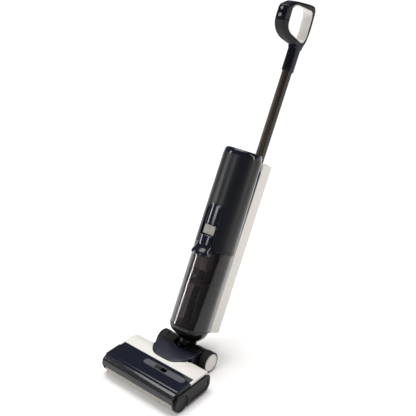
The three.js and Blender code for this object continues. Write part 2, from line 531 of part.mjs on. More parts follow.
function headPieces() {
  const rollerEnds = [-WALL_INNER + 1.2, WALL_INNER - 1.2];
  const pieces = [
    piece('head_chassis', headChassis(), 'blackMatte'),
    piece('head_shell', headShell(), 'white'),
    piece('neck_fairing', neckFairing(), 'navySatin'),
    piece('squeegee_blade', box([-WALL_INNER + 1, WALL_INNER - 1], [-SQUEEGEE_THICKNESS / 2, SQUEEGEE_THICKNESS / 2],
      [0, SQUEEGEE_HEIGHT]), 'rubber'),
    piece('scraper_strip', box([-WALL_INNER + 1, WALL_INNER - 1], [-ROLLER_TO_SQUEEGEE - 3, BAY_BACK - GAP],
      [ROLLER_Z + 17, ROLLER_Z + 20]), 'rubber'),
    piece('spray_bar', sprayBar(), 'blackMatte'),
    piece('suction_duct', suctionDuct(), 'blackMatte'),
    piece('brush_motor', brushMotor(), 'steel'),
    piece('motor_pulley', motorPulley(), 'steel'),
    piece('drive_coupler', driveCoupler(), 'blackMatte'),
    piece('drive_belt', driveBelt(), 'rubber'),
    piece('roller_core', ring('x', ROLLER_CORE_RADIUS, ROLLER_BORE, ...rollerEnds, [ROLLER_Y, ROLLER_Z]), 'blackMatte'),
    piece('roller_pile', ring('x', ROLLER_RADIUS, ROLLER_CORE_RADIUS + GAP, ...rollerEnds, [ROLLER_Y, ROLLER_Z]), 'pile'),
    piece('roller_end_cap', rollerEndCap(), 'blackMatte'),
    piece('roller_cover_panel', rollerCoverPanel(), 'navyGloss'),
    piece('roller_window', rollerWindow(), 'clear'),
    piece('latch_plate', latchPlate(), 'pillGrey'),
    piece('cover_latch', coverLatch(), 'blackMatte'),
  ];
  for (const [name, side] of sides) {
    pieces.push(piece(`${name}_side_cover`, sideCover(side), 'blackMatte'));
    pieces.push(...wheelPieces(name, side));
  }
  return pieces;
}

function sprayBar() {
  const y = [ROLLER_Y + 12, ROLLER_Y + 20];
  const z = [2 * ROLLER_RADIUS + 2, 2 * ROLLER_RADIUS + 7];
  const bar = box([-WALL_INNER + GAP, WALL_INNER - GAP], y, z);
  const nozzles = [-0.75, -0.25, 0.25, 0.75].map((share) => box(
    [share * WALL_INNER - 2, share * WALL_INNER + 2], [y[0] - 3, y[0] + 1], [z[0] + 1, z[0] + 4]));
  return join(bar, ...nozzles);
}

function wheelPieces(name, side) {
  const centre = [AXLE_Y, WHEEL_RADIUS];
  const [tyreLow, tyreHigh] = span(side, WHEEL_INNER, WHEEL_OUTER);
  const [hubLow, hubHigh] = span(side, WHEEL_INNER + 2, WHEEL_OUTER + 0.6);
  const [boreLow, boreHigh] = span(side, WHEEL_INNER, WHEEL_OUTER - 4);
  const [pinLow, pinHigh] = span(side, TRUNNION_HALF_WIDTH + 6, WHEEL_OUTER - 4 - GAP);
  const hub = cut(rod('x', HUB_RADIUS, hubLow, hubHigh, centre, ROUND),
    rod('x', AXLE_RADIUS + GAP, boreLow, boreHigh, centre));
  return [
    piece(`${name}_tyre`, ring('x', WHEEL_RADIUS, HUB_RADIUS + GAP, tyreLow, tyreHigh, centre, 32), 'rubber'),
    piece(`${name}_hub`, hub, 'white'),
    piece(`${name}_axle_pin`, rod('x', AXLE_RADIUS, pinLow, pinHigh, centre), 'steel'),
  ];
}

// ---------- neck ----------
function neckYoke() {
  const barrel = rod('x', TRUNNION_RADIUS, -TRUNNION_HALF_WIDTH, TRUNNION_HALF_WIDTH, [0, 0], ROUND);
  const stem = rod('z', STEM_RADIUS, 0, STEM_TOP, [0, NECK_BACK], ROUND);
  const bore = rod('z', STEM_BORE, -40, STEM_TOP + 1, [0, NECK_BACK], ROUND);
  const frontWindow = box([-STEM_BORE, STEM_BORE], [-60, 6], [-40, 9]);
  const pins = rod('x', AXLE_RADIUS + 2, -60, 60, [0, 0]);
  return cut(join(barrel, stem), bore, frontWindow, pins);
}

// Flexible hose from the duct, through the yoke, into the bowl
function suctionHose() {
  const tube = (radius, overrun) => {
    const path = new THREE.CatmullRomCurve3([
      new THREE.Vector3(0, SHELL_REAR + 2 - overrun, WHEEL_RADIUS),
      new THREE.Vector3(0, SHELL_REAR + 20, WHEEL_RADIUS + 1),
      new THREE.Vector3(0, AXLE_Y - 14, WHEEL_RADIUS + 6),
      new THREE.Vector3(0, AXLE_Y + 1, WHEEL_RADIUS + 22),
      new THREE.Vector3(0, AXLE_Y + 10 + overrun / 2, WHEEL_RADIUS + 38 + overrun)]);
    const circle = new THREE.Shape().absarc(0, 0, radius, 0, 2 * Math.PI);
    return new THREE.ExtrudeGeometry(circle, { steps: 14, curveSegments: 6, extrudePath: path });
  };
  return cut(tube(HOSE_RADIUS, 0), tube(HOSE_RADIUS - 2, 1));
}

// ---------- column ----------
const bodyLoft = (levels, inset) => loft(levels.map((z) => bodySection(z, inset)));
const bodyTube = (low, high, inset, wall) => cut(
  bodyLoft([low, high], inset), bodyLoft([low - 1, high + 1], inset + wall));

function bowlSection(z, radius, share, inset) {
  const centre = THREE.MathUtils.lerp(NECK_BACK, BODY_FRONT + BODY_RADIUS, share);
  const back = THREE.MathUtils.lerp(NECK_BACK + radius, BODY_BACK, share) - inset;
  return { z, points: roundFront(radius - inset, centre, back) };
}

function lowerBowl() {
  const levels = [[BOWL_BOTTOM, NECK_RADIUS, 0], [BOWL_BOTTOM + 12, NECK_RADIUS + 1, 0],
    [BOWL_BOTTOM + 21, 40, 0.35], [BOWL_BOTTOM + 32, 52, 0.75], [BOWL_TOP - 9, BODY_RADIUS - 1.5, 1], [BOWL_TOP, BODY_RADIUS, 1]];
  const outer = loft(levels.map(([z, radius, share]) => bowlSection(z, radius, share, 0)));
  const inner = loft(levels.slice(2).map(([z, radius, share], i, all) => bowlSection(
    i === all.length - 1 ? z + 1 : z + 3, radius, share, 3)));
  const socket = rod('z', STEM_RADIUS + GAP, BOWL_BOTTOM - 1, BOWL_BOTTOM + 26, [0, NECK_BACK], ROUND);
  return cut(outer, inner, socket);
}

function dirtyTankJar() {
  const outer = loft([JAR_BOTTOM, JAR_TOP].map((z) => bodySection(z, 0.4)));
  const inner = loft([JAR_BOTTOM + 3, JAR_TOP + 1].map((z) => bodySection(z, 0.4 + BODY_WALL)));
  const handHold = box([-LIP_ROOT_HALF - GAP, LIP_ROOT_HALF + GAP], [BODY_FRONT - 5, BODY_FRONT + 12],
    [JAR_TOP - 16, JAR_TOP + 1]);
  return cut(outer, inner, handHold);
}

function dirtyTankLid() {
  const plate = loft([JAR_TOP + GAP, SHELL_BOTTOM - GAP].map((z) => bodySection(z, 0.4)));
  const inset = loft([JAR_TOP - 8, JAR_TOP + 1].map((z) => bodySection(z, BODY_WALL + 1)));
  const air = rod('z', 14, JAR_TOP - 20, SHELL_BOTTOM + 60, [0, -28], ROUND);
  const jarRoom = bodyLoft([JAR_TOP - 60, JAR_TOP + GAP], 0.1);
  const tongueRoom = box([-LIP_ROOT_HALF, LIP_ROOT_HALF], [BODY_FRONT - LIP_REACH, BODY_FRONT + 11.7],
    [JAR_TOP - 16 + GAP, JAR_TOP + 1]);
  return cut(join(plate, inset, cut(tankLip(), jarRoom), common(tankLip(), tongueRoom)), air);
}

// The lip that the fingers pull: a collar in the shell's opening that flares to a rounded spout
function tankLip() {
  const collar = OPENING_HALF - GAP;
  const levels = [[JAR_TOP - 23, 0.72, 0.3], [JAR_TOP - 20.5, 0.9, 0.8], [JAR_TOP - 17.5, 0.98, 1],
    [JAR_TOP - 13, 1, 1], [JAR_TOP - 8, 0.97, 0.86], [JAR_TOP - 1, 0.89, 0.56],
    [JAR_TOP + 6, 0.82, 0.34]].map(([z, width, reach]) => [z, LIP_HALF_WIDTH * width, LIP_REACH * reach]);
  levels.push([SHELL_BOTTOM - GAP, collar, 4], [RECESS_BOTTOM - 1.5, collar, 3.5], [RECESS_BOTTOM, collar - 1.2, 2.2]);
  return loft(levels.map(([z, half, reach]) => ({ z, points: spoutSection(half, reach) })));
}

// A level section of the lip: square at the back, with a full round front
function spoutSection(half, reach) {
  const back = BODY_FRONT + 14;
  const depth = 14 + reach;
  const points = [];
  for (let i = 0; i <= 20; i += 1) {
    const angle = Math.PI + (Math.PI * i) / 20;
    const x = Math.sign(Math.cos(angle)) * Math.abs(Math.cos(angle)) ** 0.72;
    const y = Math.abs(Math.sin(angle)) ** 0.72;
    points.push([half * x, back - depth * y]);
  }
  return points;
}

// Arch-topped outline of the opening in the shell, seen from the front
const archOutline = (half, low, high, inset = 0) => outline([
  [-half + inset, low + inset], [half - inset, low + inset], [half - inset, high - inset, half - inset],
  [-half + inset, high - inset, half - inset]]);

function bodyShell() {
  const tube = bodyTube(SHELL_BOTTOM, SHELL_TOP, 0, BODY_WALL);
  const arch = extrude('y', archOutline(RELEASE_HALF_WIDTH + 1, SHELL_BOTTOM - 5, RELEASE_BOTTOM + RELEASE_HEIGHT + 1),
    BODY_FRONT - 5, BODY_FRONT + 30);
  const back = box([-24, 24], [0, BODY_BACK + 5], [SHELL_TOP - 120, SHELL_TOP - 30]);
  return cut(tube, arch, back);
}

// Frame of the opening: a liner behind the release button and the grip recess
function releaseBezel() {
  const high = RELEASE_BOTTOM + RELEASE_HEIGHT;
  const low = SHELL_BOTTOM + GAP;
  const block = extrude('y', archOutline(RELEASE_HALF_WIDTH + 0.6, low, high + 0.6), BODY_FRONT - 2.5, BODY_FRONT + 20);
  const proud = loft([low, high + 2].map((z) => (
    { z, points: roundFront(BODY_RADIUS + 2, BODY_FRONT + BODY_RADIUS, BODY_BACK) })));
  const opening = extrude('y', archOutline(OPENING_HALF, low - 1, high - RELEASE_RIM + 0.5), BODY_FRONT - 5, BODY_FRONT + 12);
  const lipRoom = box([-OPENING_HALF, OPENING_HALF], [BODY_FRONT - 5, BODY_FRONT + 21], [low - 1, RECESS_BOTTOM + 1]);
  return cut(common(block, proud), opening, lipRoom);
}

function tankReleaseButton() {
  const half = OPENING_HALF - GAP;
  const arch = extrude('y', archOutline(half, RELEASE_BOTTOM, RELEASE_BOTTOM + RELEASE_HEIGHT - RELEASE_RIM + 0.5 - GAP),
    BODY_FRONT - 3, BODY_FRONT + 7);
  const bulge = loft([RELEASE_BOTTOM - 1, RELEASE_BOTTOM + RELEASE_HEIGHT].map((z) => (
    { z, points: roundFront(half + 14, BODY_FRONT - 2 + half + 14, BODY_BACK) })));
  return common(arch, bulge);
}

function gripPlate() {
  return box([-19, 19], [BODY_FRONT + 7, BODY_FRONT + 11.5], [RECESS_BOTTOM + 2.5, RELEASE_BOTTOM - 2.5]);
}

function topCap() {
  const section = (z, inset) => {
    const { points } = bodySection(SHELL_TOP, inset);
    return { z, points };
  };
  const outer = loft([section(SHELL_TOP + GAP, 0), section(SHELL_TOP + 9, 0.6), section(CAP_TOP - 4, 3),
    section(CAP_TOP - 1, 6), section(CAP_TOP, 10)]);
  const inner = loft([section(SHELL_TOP - 1, BODY_WALL), section(CAP_TOP - 5, BODY_WALL + 2)]);
  const lensSeat = rod('z', LENS_RADIUS + GAP, CAP_TOP - 1.4, CAP_TOP + 1, [0, LENS_Y], ROUND);
  return cut(outer, inner, lensSeat);
}

function spine() {
  const top = SHELL_TOP - 25;
  const plate = extrude('y', outline([[-CLEAN_TANK_HALF_WIDTH, CLEAN_TANK_BOTTOM], [CLEAN_TANK_HALF_WIDTH, CLEAN_TANK_BOTTOM],
    [CLEAN_TANK_HALF_WIDTH, top, 4], [-CLEAN_TANK_HALF_WIDTH, top, 4]]), SPINE_FRONT, SPINE_BACK);
  const outer = box([-POLE_WIDTH / 2 - SOCKET_WALL - GAP, POLE_WIDTH / 2 + SOCKET_WALL + GAP],
    [SPINE_FRONT, POLE_BACK + POLE_DEPTH / 2 + SOCKET_WALL + GAP], [SOCKET_FLOOR - 5, CLEAN_TANK_TOP + 1]);
  const bore = poleSection(SOCKET_FLOOR, CLEAN_TANK_TOP + 5, GAP);
  const wireWay = box([-5, 5], [SPINE_FRONT - 1, SPINE_FRONT + 6], [SOCKET_FLOOR - 60, SOCKET_FLOOR - 20]);
  const buttonWell = box([-9.5, 9.5], [SPINE_BACK + 2, SPINE_BACK + 12], [CLEAN_TANK_TOP - 10, CLEAN_TANK_TOP + 2]);
  return cut(join(plate, outer), bore, wireWay, buttonWell);
}

function poleSection(low, high, extra = 0) {
  const x = POLE_WIDTH / 2 + extra;
  const y = POLE_DEPTH / 2 + extra;
  return extrude('z', outline([[-x, POLE_BACK - y, 7], [x, POLE_BACK - y, 7],
    [x, POLE_BACK + y, 7], [-x, POLE_BACK + y, 7]]), low, high);
}

function poleReleaseButton() {
  return box([-9.2, 9.2], [SPINE_BACK + 2.3, SPINE_BACK + 11.7], [CLEAN_TANK_TOP - 7, CLEAN_TANK_TOP + 6]);
}

function trimStrip(side) {
  const corner = (z, outwards) => {
    const share = THREE.MathUtils.clamp((z - SHELL_BOTTOM) / SHELL_LENGTH, 0, 1);
    const radius = THREE.MathUtils.lerp(BODY_RADIUS, BODY_TOP_RADIUS, share);
    const drop = BODY_BACK - (BODY_FRONT + radius);
    return Math.sqrt(radius * radius - drop * drop) - outwards;
  };
  const section = (z) => {
    const [low, high] = span(side, corner(z, 5), corner(z, 0.2));
    const back = STRIP_FRONT + STRIP_DEPTH;
    return { z, points: [[low, STRIP_FRONT], [high, STRIP_FRONT], [high, back], [low, back]] };
  };
  return loft([section(BOWL_TOP + GAP), section(SHELL_BOTTOM), section(SHELL_TOP)]);
}

function cleanTank() {
  const half = CLEAN_TANK_HALF_WIDTH;
  const front = SPINE_BACK + GAP;
  const shape = (inset) => outline([[-half + inset, front + inset, 6], [half - inset, front + inset, 6],
    [half - inset, CLEAN_TANK_BACK - 9 - inset, 10], [half * 0.5, CLEAN_TANK_BACK - inset, 8],
    [-half * 0.5, CLEAN_TANK_BACK - inset, 8], [-half + inset, CLEAN_TANK_BACK - 9 - inset, 10]]);
  const outer = extrude('z', shape(0), CLEAN_TANK_BOTTOM, CLEAN_TANK_TOP, 1.5);
  const wall = CLEAN_TANK_WALL;
  const inner = extrude('z', shape(wall), CLEAN_TANK_BOTTOM + wall + 1, CLEAN_TANK_TOP - wall - 1);
  const notchHalf = POLE_WIDTH / 2 + SOCKET_WALL + 2 * GAP;
  const notchBack = POLE_BACK + POLE_DEPTH / 2 + SOCKET_WALL + 2 * GAP;
  const notch = (extra) => box([-notchHalf - extra, notchHalf + extra], [0, notchBack + (extra ? 1.5 : 0)],
    [SOCKET_FLOOR - 5 - GAP - extra, CLEAN_TANK_TOP + 5]);
  const mouth = rod('z', FILL_CAP_RADIUS + GAP, CLEAN_TANK_TOP - 12, CLEAN_TANK_TOP + 2, FILL_CENTRE);
  return cut(outer, cut(inner, notch(wall)), notch(0), mouth);
}

function fillCap() {
  const plug = rod('z', FILL_CAP_RADIUS, CLEAN_TANK_TOP - 8, CLEAN_TANK_TOP + 1, FILL_CENTRE);
  const lid = rod('z', FILL_CAP_RADIUS + 3, CLEAN_TANK_TOP + GAP, CLEAN_TANK_TOP + 2.5, FILL_CENTRE, ROUND);
  return join(plug, lid);
}

function columnPieces() {
  const motorCentre = [0, BODY_FRONT + BODY_RADIUS - 4];
  const motorBottom = RELEASE_BOTTOM + 12;
  const pieces = [
    piece('lower_bowl', lowerBowl(), 'blackGloss'),
    piece('body_shell', bodyShell(), 'charcoal'),
    piece('release_bezel', releaseBezel(), 'navyGloss'),
    piece('tank_release_button', tankReleaseButton(), 'navyGloss'),
    piece('grip_plate', gripPlate(), 'warmGrey'),
    piece('top_cap', topCap(), 'navyGloss'),
    piece('display_lens', rod('z', LENS_RADIUS, CAP_TOP - 1.4 + GAP, CAP_TOP + 0.2, [0, LENS_Y], ROUND), 'blackGloss'),
    piece('spine', spine(), 'blackMatte'),
    piece('left_trim_strip', trimStrip(-1), 'silver'),
    piece('right_trim_strip', trimStrip(1), 'silver'),
    piece('pole_release_button', poleReleaseButton(), 'warmGrey'),
    piece('battery_pack', batteryPack(), 'blackMatte'),
    piece('control_board', box([-24, 24], [BODY_BACK - 6, BODY_BACK - 4.2], [SHELL_TOP - 110, SHELL_TOP - 20]), 'board'),
    piece('suction_motor', ring('z', MOTOR_HOUSING_RADIUS, 5, motorBottom + 16, motorBottom + 68, motorCentre), 'steel'),
    piece('impeller', impeller(motorBottom, motorCentre), 'silver'),
    piece('water_pump', rod('x', 9, -20, 20, [BODY_BACK - 16, RECESS_BOTTOM + 12]), 'blackMatte'),
    piece('dirty_tank_jar', dirtyTankJar(), 'smoke'),
    piece('dirty_tank_lid', dirtyTankLid(), 'navyGloss'),
    piece('filter_cartridge', filterCartridge(), 'warmGrey'),
    piece('intake_tube', ring('z', TUBE_RADIUS, TUBE_RADIUS - 2, JAR_BOTTOM + 3 + GAP, JAR_TOP - 34, TUBE_CENTRE, SMALL_ROUND), 'smoke'),
    piece('debris_strainer', debrisStrainer(), 'warmGrey'),
    piece('float', rod('z', FLOAT_RADIUS, FLOAT_LOW, FLOAT_LOW + 16, FLOAT_CENTRE), 'white'),
    piece('clean_tank', cleanTank(), 'white'),
    piece('fill_cap', fillCap(), 'white'),
  ];
  return pieces;
}

function batteryPack() {
  const cell = 9.8;
  const columns = [-2, 0, 2].map((i) => i * cell);
  const rows = [BODY_FRONT + BODY_RADIUS - 6 - cell, BODY_FRONT + BODY_RADIUS - 6 + cell];
  const cells = columns.flatMap((x) => rows.map((y) => rod('z', cell + 0.4, SHELL_TOP - 96, SHELL_TOP - 14, [x, y])));
  return join(...cells);
}

function impeller(bottom, centre) {
  const disc = rod('z', MOTOR_HOUSING_RADIUS - 3, bottom + 2, bottom + 4, centre, ROUND);
  const hub = rod('z', 4.4, bottom + 2, bottom + 40, centre);
  const blades = [0, 1, 2, 3, 4, 5].map((i) => {
    const blade = new THREE.BoxGeometry(MOTOR_HOUSING_RADIUS - 7, 1.6, 10).translate(MOTOR_HOUSING_RADIUS / 2 + 1, 0, 0);
    return blade.rotateZ((i * Math.PI) / 3).translate(centre[0], centre[1], bottom + 8.5);
  });
  return join(disc, hub, ...blades);
}

function filterCartridge() {
  const y = [BODY_FRONT + 22, BODY_FRONT + 50];
  const block = box([-19, 19], y, [JAR_TOP - 62, JAR_TOP - 8 - GAP]);
  const ribs = [-12, 0, 12].map((x) => box([x - 1.5, x + 1.5], [y[0] - 1.5, y[0] + 1], [JAR_TOP - 60, JAR_TOP - 12]));
  return join(block, ...ribs);
}

function debrisStrainer() {
  const plate = loft([STRAINER_Z, STRAINER_Z + 2].map((z) => bodySection(z, BODY_WALL + 1)));
  const tubeHole = rod('z', TUBE_RADIUS + GAP, 0, 999, TUBE_CENTRE);
  const floatHole = rod('z', FLOAT_RADIUS + 2, 0, 999, FLOAT_CENTRE);
  const slots = [-40, -20, 20, 40].flatMap((x) => [-58, -44].map((y) => box([x - 7, x + 7], [y, y + 5], [0, 999])));
  return cut(plate, tubeHole, floatHole, ...slots);
}

// ---------- pole and handle ----------
const HANDLE_OUTER = [[45, -4], [45, 2, 6], [-12, 4, 14], [-44, 16, 12], [-63, 38, 14], [-63, 86, 8],
  [-28, 110, 12], [44, 126, 10], [76, 131, 8], [88, 119, 8], [93, 60, 20], [88, 22, 14], [78, 6, 8], [78, -4]];
const HANDLE_OPENING = [[-34, 34, 14], [-12, 22, 10], [70, 14, 12], [82, 34, 16], [78, 100, 8],
  [70, 114, 12], [-22, 103, 14], [-38, 88, 8]];
const handleOutline = (corners) => outline(corners.map(([y, z, radius]) => [y, HANDLE_BASE + z, radius]));

function grownLoop(corners, amount) {
  const middle = corners.reduce((sum, [y, z]) => [sum[0] + y / corners.length, sum[1] + z / corners.length], [0, 0]);
  return corners.map(([y, z, radius]) => {
    const away = [y - middle[0], z - middle[1]];
    const scale = 1 + amount / Math.hypot(...away);
    return [middle[0] + away[0] * scale, middle[1] + away[1] * scale, radius];
  });
}

function handleLoop() {
  const half = HANDLE_WIDTH / 2;
  const body = extrude('x', handleOutline(HANDLE_OUTER), -half, half, 5);
  const hole = extrude('x', handleOutline(HANDLE_OPENING), -half - 1, half + 1);
  return cut(body, hole);
}

// Region of the loop that the soft grip covers: the front bar below the buttons and the lower bar
const gripRegion = (extra) => extrude('x', handleOutline([[-90, 44 + extra], [-62, 44 + extra], [-30, 62 + extra],
  [-20 + extra, 62 + extra], [-20 + extra, 30], [30 + extra, 30], [30 + extra, -10], [-90, -10]]), -30, 30);

function buttonPanel() {
  const plate = extrude('x', outline([[-64.5, HANDLE_BASE + 47], [-64.5, HANDLE_BASE + 86, 6], [-33, HANDLE_BASE + 109.5],
    [-31.5, HANDLE_BASE + 107.5], [-61, HANDLE_BASE + 85, 6], [-61, HANDLE_BASE + 47]]), -12, 12);
  return cut(plate, ...buttons(0.4).map((button) => button.shape));
}

function buttons(extra, depth = 0) {
  const at = (z, radius) => rod('y', radius + extra, -66.2, -58.5 + depth, [0, HANDLE_BASE + z], SMALL_ROUND);
  return [{ name: 'power_button', shape: at(56, 7) }, { name: 'mode_button', shape: at(76, 7) }];
}

function handlePieces() {
  const collarOuter = extrude('z', outline([[-POLE_WIDTH / 2 - COLLAR_WALL, POLE_BACK - POLE_DEPTH / 2 - COLLAR_WALL, 9],
    [POLE_WIDTH / 2 + COLLAR_WALL, POLE_BACK - POLE_DEPTH / 2 - COLLAR_WALL, 9],
    [POLE_WIDTH / 2 + COLLAR_WALL, POLE_BACK + POLE_DEPTH / 2 + COLLAR_WALL, 9],
    [-POLE_WIDTH / 2 - COLLAR_WALL, POLE_BACK + POLE_DEPTH / 2 + COLLAR_WALL, 9]]), COLLAR_BOTTOM, HANDLE_BASE + 6);
  const poleRoom = poleSection(COLLAR_BOTTOM - 1, HANDLE_BASE + GAP, GAP);
  const panelSeat = extrude('x', outline([[-70, HANDLE_BASE + 46.7], [-70, HANDLE_BASE + 120], [-33, HANDLE_BASE + 120],
    [-31, HANDLE_BASE + 107], [-60.6, HANDLE_BASE + 84.8, 6], [-60.6, HANDLE_BASE + 46.7]]), -12.3, 12.3);
  const wells = buttons(0.4, BUTTON_TRAVEL + 0.5).map((button) => button.shape);
  const loop = cut(handleLoop(), gripRegion(GAP));
  const half = HANDLE_WIDTH / 2 - 1.5;
  const liner = cut(extrude('x', handleOutline(grownLoop(HANDLE_OPENING, -GAP)), -half, half),
    extrude('x', handleOutline(grownLoop(HANDLE_OPENING, -GAP - LINER_WALL)), -half - 1, half + 1));
  return [
    piece('pole_tube', cut(poleSection(SOCKET_FLOOR + GAP, HANDLE_BASE, 0), poleSection(SOCKET_FLOOR - 1, HANDLE_BASE + 1, -POLE_WALL)), 'bronze'),
    piece('handle_shell', cut(join(loop, collarOuter), poleRoom, panelSeat, ...wells), 'navyGloss'),
    piece('grip_cover', cut(common(handleLoop(), gripRegion(0)), panelSeat), 'blackMatte'),
    piece('handle_liner', liner, 'white'),
    piece('button_panel', buttonPanel(), 'navyGloss'),
    ...buttons(0).map(({ name, shape }) => piece(name, shape, 'pillGrey')),
  ];
}

// ---------- assembly ----------
const machine = new THREE.Group();
machine.add(...headPieces());

const leaning = new THREE.Group();
leaning.position.set(0, AXLE_Y, WHEEL_RADIUS);
leaning.rotation.x = -LEAN;
leaning.add(piece('neck_yoke', neckYoke(), 'blackGloss'), ...columnPieces(), ...handlePieces());
machine.add(leaning);

machine.add(piece('suction_hose', suctionHose(), 'blackMatte'));

export default machine;
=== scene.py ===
# %% [markdown]
# # A wet and dry floor scrubber, finished in Blender
# The machine's frame comes ready made: every part is there at its size and place, and knows
# which body it moves with. This lesson gives each visible part its fine surface and its finish.
# Units are metres, +Z is up, and the front of the machine faces -Y.

# %% Load the frame
import json
import math

import bpy
from mathutils import Matrix, Vector


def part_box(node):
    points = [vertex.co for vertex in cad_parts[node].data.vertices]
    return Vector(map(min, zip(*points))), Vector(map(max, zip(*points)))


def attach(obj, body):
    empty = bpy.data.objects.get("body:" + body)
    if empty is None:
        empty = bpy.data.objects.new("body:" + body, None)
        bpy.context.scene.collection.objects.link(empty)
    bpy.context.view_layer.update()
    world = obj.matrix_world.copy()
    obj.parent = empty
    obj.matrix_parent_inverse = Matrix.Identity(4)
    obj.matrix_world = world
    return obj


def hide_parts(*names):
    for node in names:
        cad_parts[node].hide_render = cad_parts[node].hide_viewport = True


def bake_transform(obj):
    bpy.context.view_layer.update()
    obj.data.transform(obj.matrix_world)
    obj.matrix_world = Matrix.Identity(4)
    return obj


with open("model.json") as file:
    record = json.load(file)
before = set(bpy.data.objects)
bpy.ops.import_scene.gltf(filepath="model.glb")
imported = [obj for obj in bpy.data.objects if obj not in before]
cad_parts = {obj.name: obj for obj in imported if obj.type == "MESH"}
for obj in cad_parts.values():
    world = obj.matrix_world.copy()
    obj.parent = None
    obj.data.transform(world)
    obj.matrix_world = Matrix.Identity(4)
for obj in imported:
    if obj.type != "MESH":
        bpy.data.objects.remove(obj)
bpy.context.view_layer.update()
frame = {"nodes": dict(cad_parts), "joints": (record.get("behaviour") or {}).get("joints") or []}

# %% [markdown]
# The column leans back from the wheels' axle. Modelling a leaning thing is awkward, so pieces of
# the column are modelled upright, in the column's own frame: the axle is the origin, Z runs along
# the column and Y points to its back. One matrix then tips them into place. The lean is read from
# the axis of the swivel joint, so it always agrees with the frame.

# %% The column's own frame
joint = {j["name"]: j for j in frame["joints"]}
axle = Vector(joint["recline"]["pos_m"])
along = Vector(joint["swivel"]["axis"]).normalized()
lean = math.atan2(along.y, along.z)
COLUMN = Matrix.Translation(axle) @ Matrix.Rotation(-lean, 4, "X")


def column_box(node):
    """Lowest and highest corner of a part, measured in the column's frame."""
    upright = COLUMN.inverted()
    points = [upright @ v.co for v in frame["nodes"][node].data.vertices]
    low = Vector([min(p[i] for p in points) for i in range(3)])
    high = Vector([max(p[i] for p in points) for i in range(3)])
    return low, high


print("lean in degrees:", round(math.degrees(lean), 1))

# %% [markdown]
# Blender's operators work on whatever is selected. So each step starts from a clear bench:
# object mode, nothing selected, and then one piece taken in hand.

# %% Bench helpers
def clear_bench():
    if bpy.context.mode != "OBJECT":
        bpy.ops.object.mode_set(mode="OBJECT")
    bpy.ops.object.select_all(action="DESELECT")


def take(piece):
    clear_bench()
    piece.select_set(True)
    bpy.context.view_layer.objects.active = piece
    return piece


def new_piece(name):
    """Names the primitive that was just added."""
    piece = bpy.context.active_object
    piece.name = name
    piece.data.name = name
    return piece


def edit(piece):
    take(piece)
    bpy.ops.object.mode_set(mode="EDIT")
    bpy.ops.mesh.select_mode(type="VERT")
    bpy.ops.mesh.select_all(action="SELECT")


def done():
    bpy.ops.object.mode_set(mode="OBJECT")


def select_faces(piece, test):
    """Selects the faces whose centre and normal pass a test, and leaves the piece in edit mode."""
    take(piece)
    bpy.ops.object.mode_set(mode="EDIT")
    bpy.ops.mesh.select_mode(type="FACE")
    bpy.ops.mesh.select_all(action="DESELECT")
    bpy.ops.object.mode_set(mode="OBJECT")
    for face in piece.data.polygons:
        face.select = bool(test(face.center, face.normal))
    bpy.ops.object.mode_set(mode="EDIT")


def select_edges(piece, test):
    """Selects the edges whose two ends pass a test, and leaves the piece in edit mode."""
    take(piece)
    bpy.ops.object.mode_set(mode="EDIT")
    bpy.ops.mesh.select_mode(type="EDGE")
    bpy.ops.mesh.select_all(action="DESELECT")
    bpy.ops.object.mode_set(mode="OBJECT")
    corner = piece.data.vertices
    for edge in piece.data.edges:
        edge.select = bool(test(corner[edge.vertices[0]].co, corner[edge.vertices[1]].co))
    bpy.ops.object.mode_set(mode="EDIT")


def apply_modifier(piece, kind, **settings):
    take(piece)
    modifier = piece.modifiers.new(kind, kind)
    for key, value in settings.items():
        setattr(modifier, key, value)
    bpy.ops.object.modifier_apply(modifier=modifier.name)


def lean_back(piece):
    """Tips a piece that was modelled upright into the column's place."""
    take(piece)
    piece.matrix_world = COLUMN
    bpy.ops.object.transform_apply(location=True, rotation=True, scale=True)
    return piece


def soften(piece, bevel=0.0006, segments=2, sharp=32):
    """Breaks the hard edges, as every moulded edge is broken, and shades the rest smooth."""
    if bevel:
        apply_modifier(piece, "BEVEL", width=bevel, segments=segments, limit_method="ANGLE",
                       angle_limit=math.radians(sharp), use_clamp_overlap=True, miter_outer="MITER_ARC")
    take(piece)
    bpy.ops.object.shade_smooth_by_angle(angle=math.radians(sharp + 8))
    apply_modifier(piece, "WEIGHTED_NORMAL", keep_sharp=True, weight=60)
    return piece


# %% [markdown]
# Many parts of the frame already have the right shape, and only lack rounded edges and smooth
# shading. For those the part's mesh is copied, its loose triangles are merged and flattened into
# clean faces, and its edges are bevelled. The frame's own mesh is never touched.

# %% Finer copies of the frame's parts
def finer_copy(node, name, bevel=0.0006, segments=2, sharp=32):
    mesh = frame["nodes"][node].data.copy()
    mesh.materials.clear()
    piece = bpy.data.objects.new(name, mesh)
    bpy.context.scene.collection.objects.link(piece)
    edit(piece)
    bpy.ops.mesh.customdata_custom_splitnormals_clear()
    bpy.ops.mesh.remove_doubles(threshold=0.00002)
    bpy.ops.mesh.dissolve_limited(angle_limit=math.radians(0.6))
    done()
    return soften(piece, bevel, segments, sharp)


def blended_copy(node, name, voxel=0.0012, rounds=6):
    """A copy whose hard joins melt into each other, as on a soft or a sculpted moulding."""
    mesh = frame["nodes"][node].data.copy()
    mesh.materials.clear()
    piece = bpy.data.objects.new(name, mesh)
    bpy.context.scene.collection.objects.link(piece)
    edit(piece)
    bpy.ops.mesh.customdata_custom_splitnormals_clear()
    bpy.ops.mesh.remove_doubles(threshold=0.00002)
    done()
    apply_modifier(piece, "REMESH", mode="VOXEL", voxel_size=voxel)
    apply_modifier(piece, "SMOOTH", factor=0.5, iterations=rounds)
    take(piece)
    bpy.ops.object.shade_smooth()
    return piece


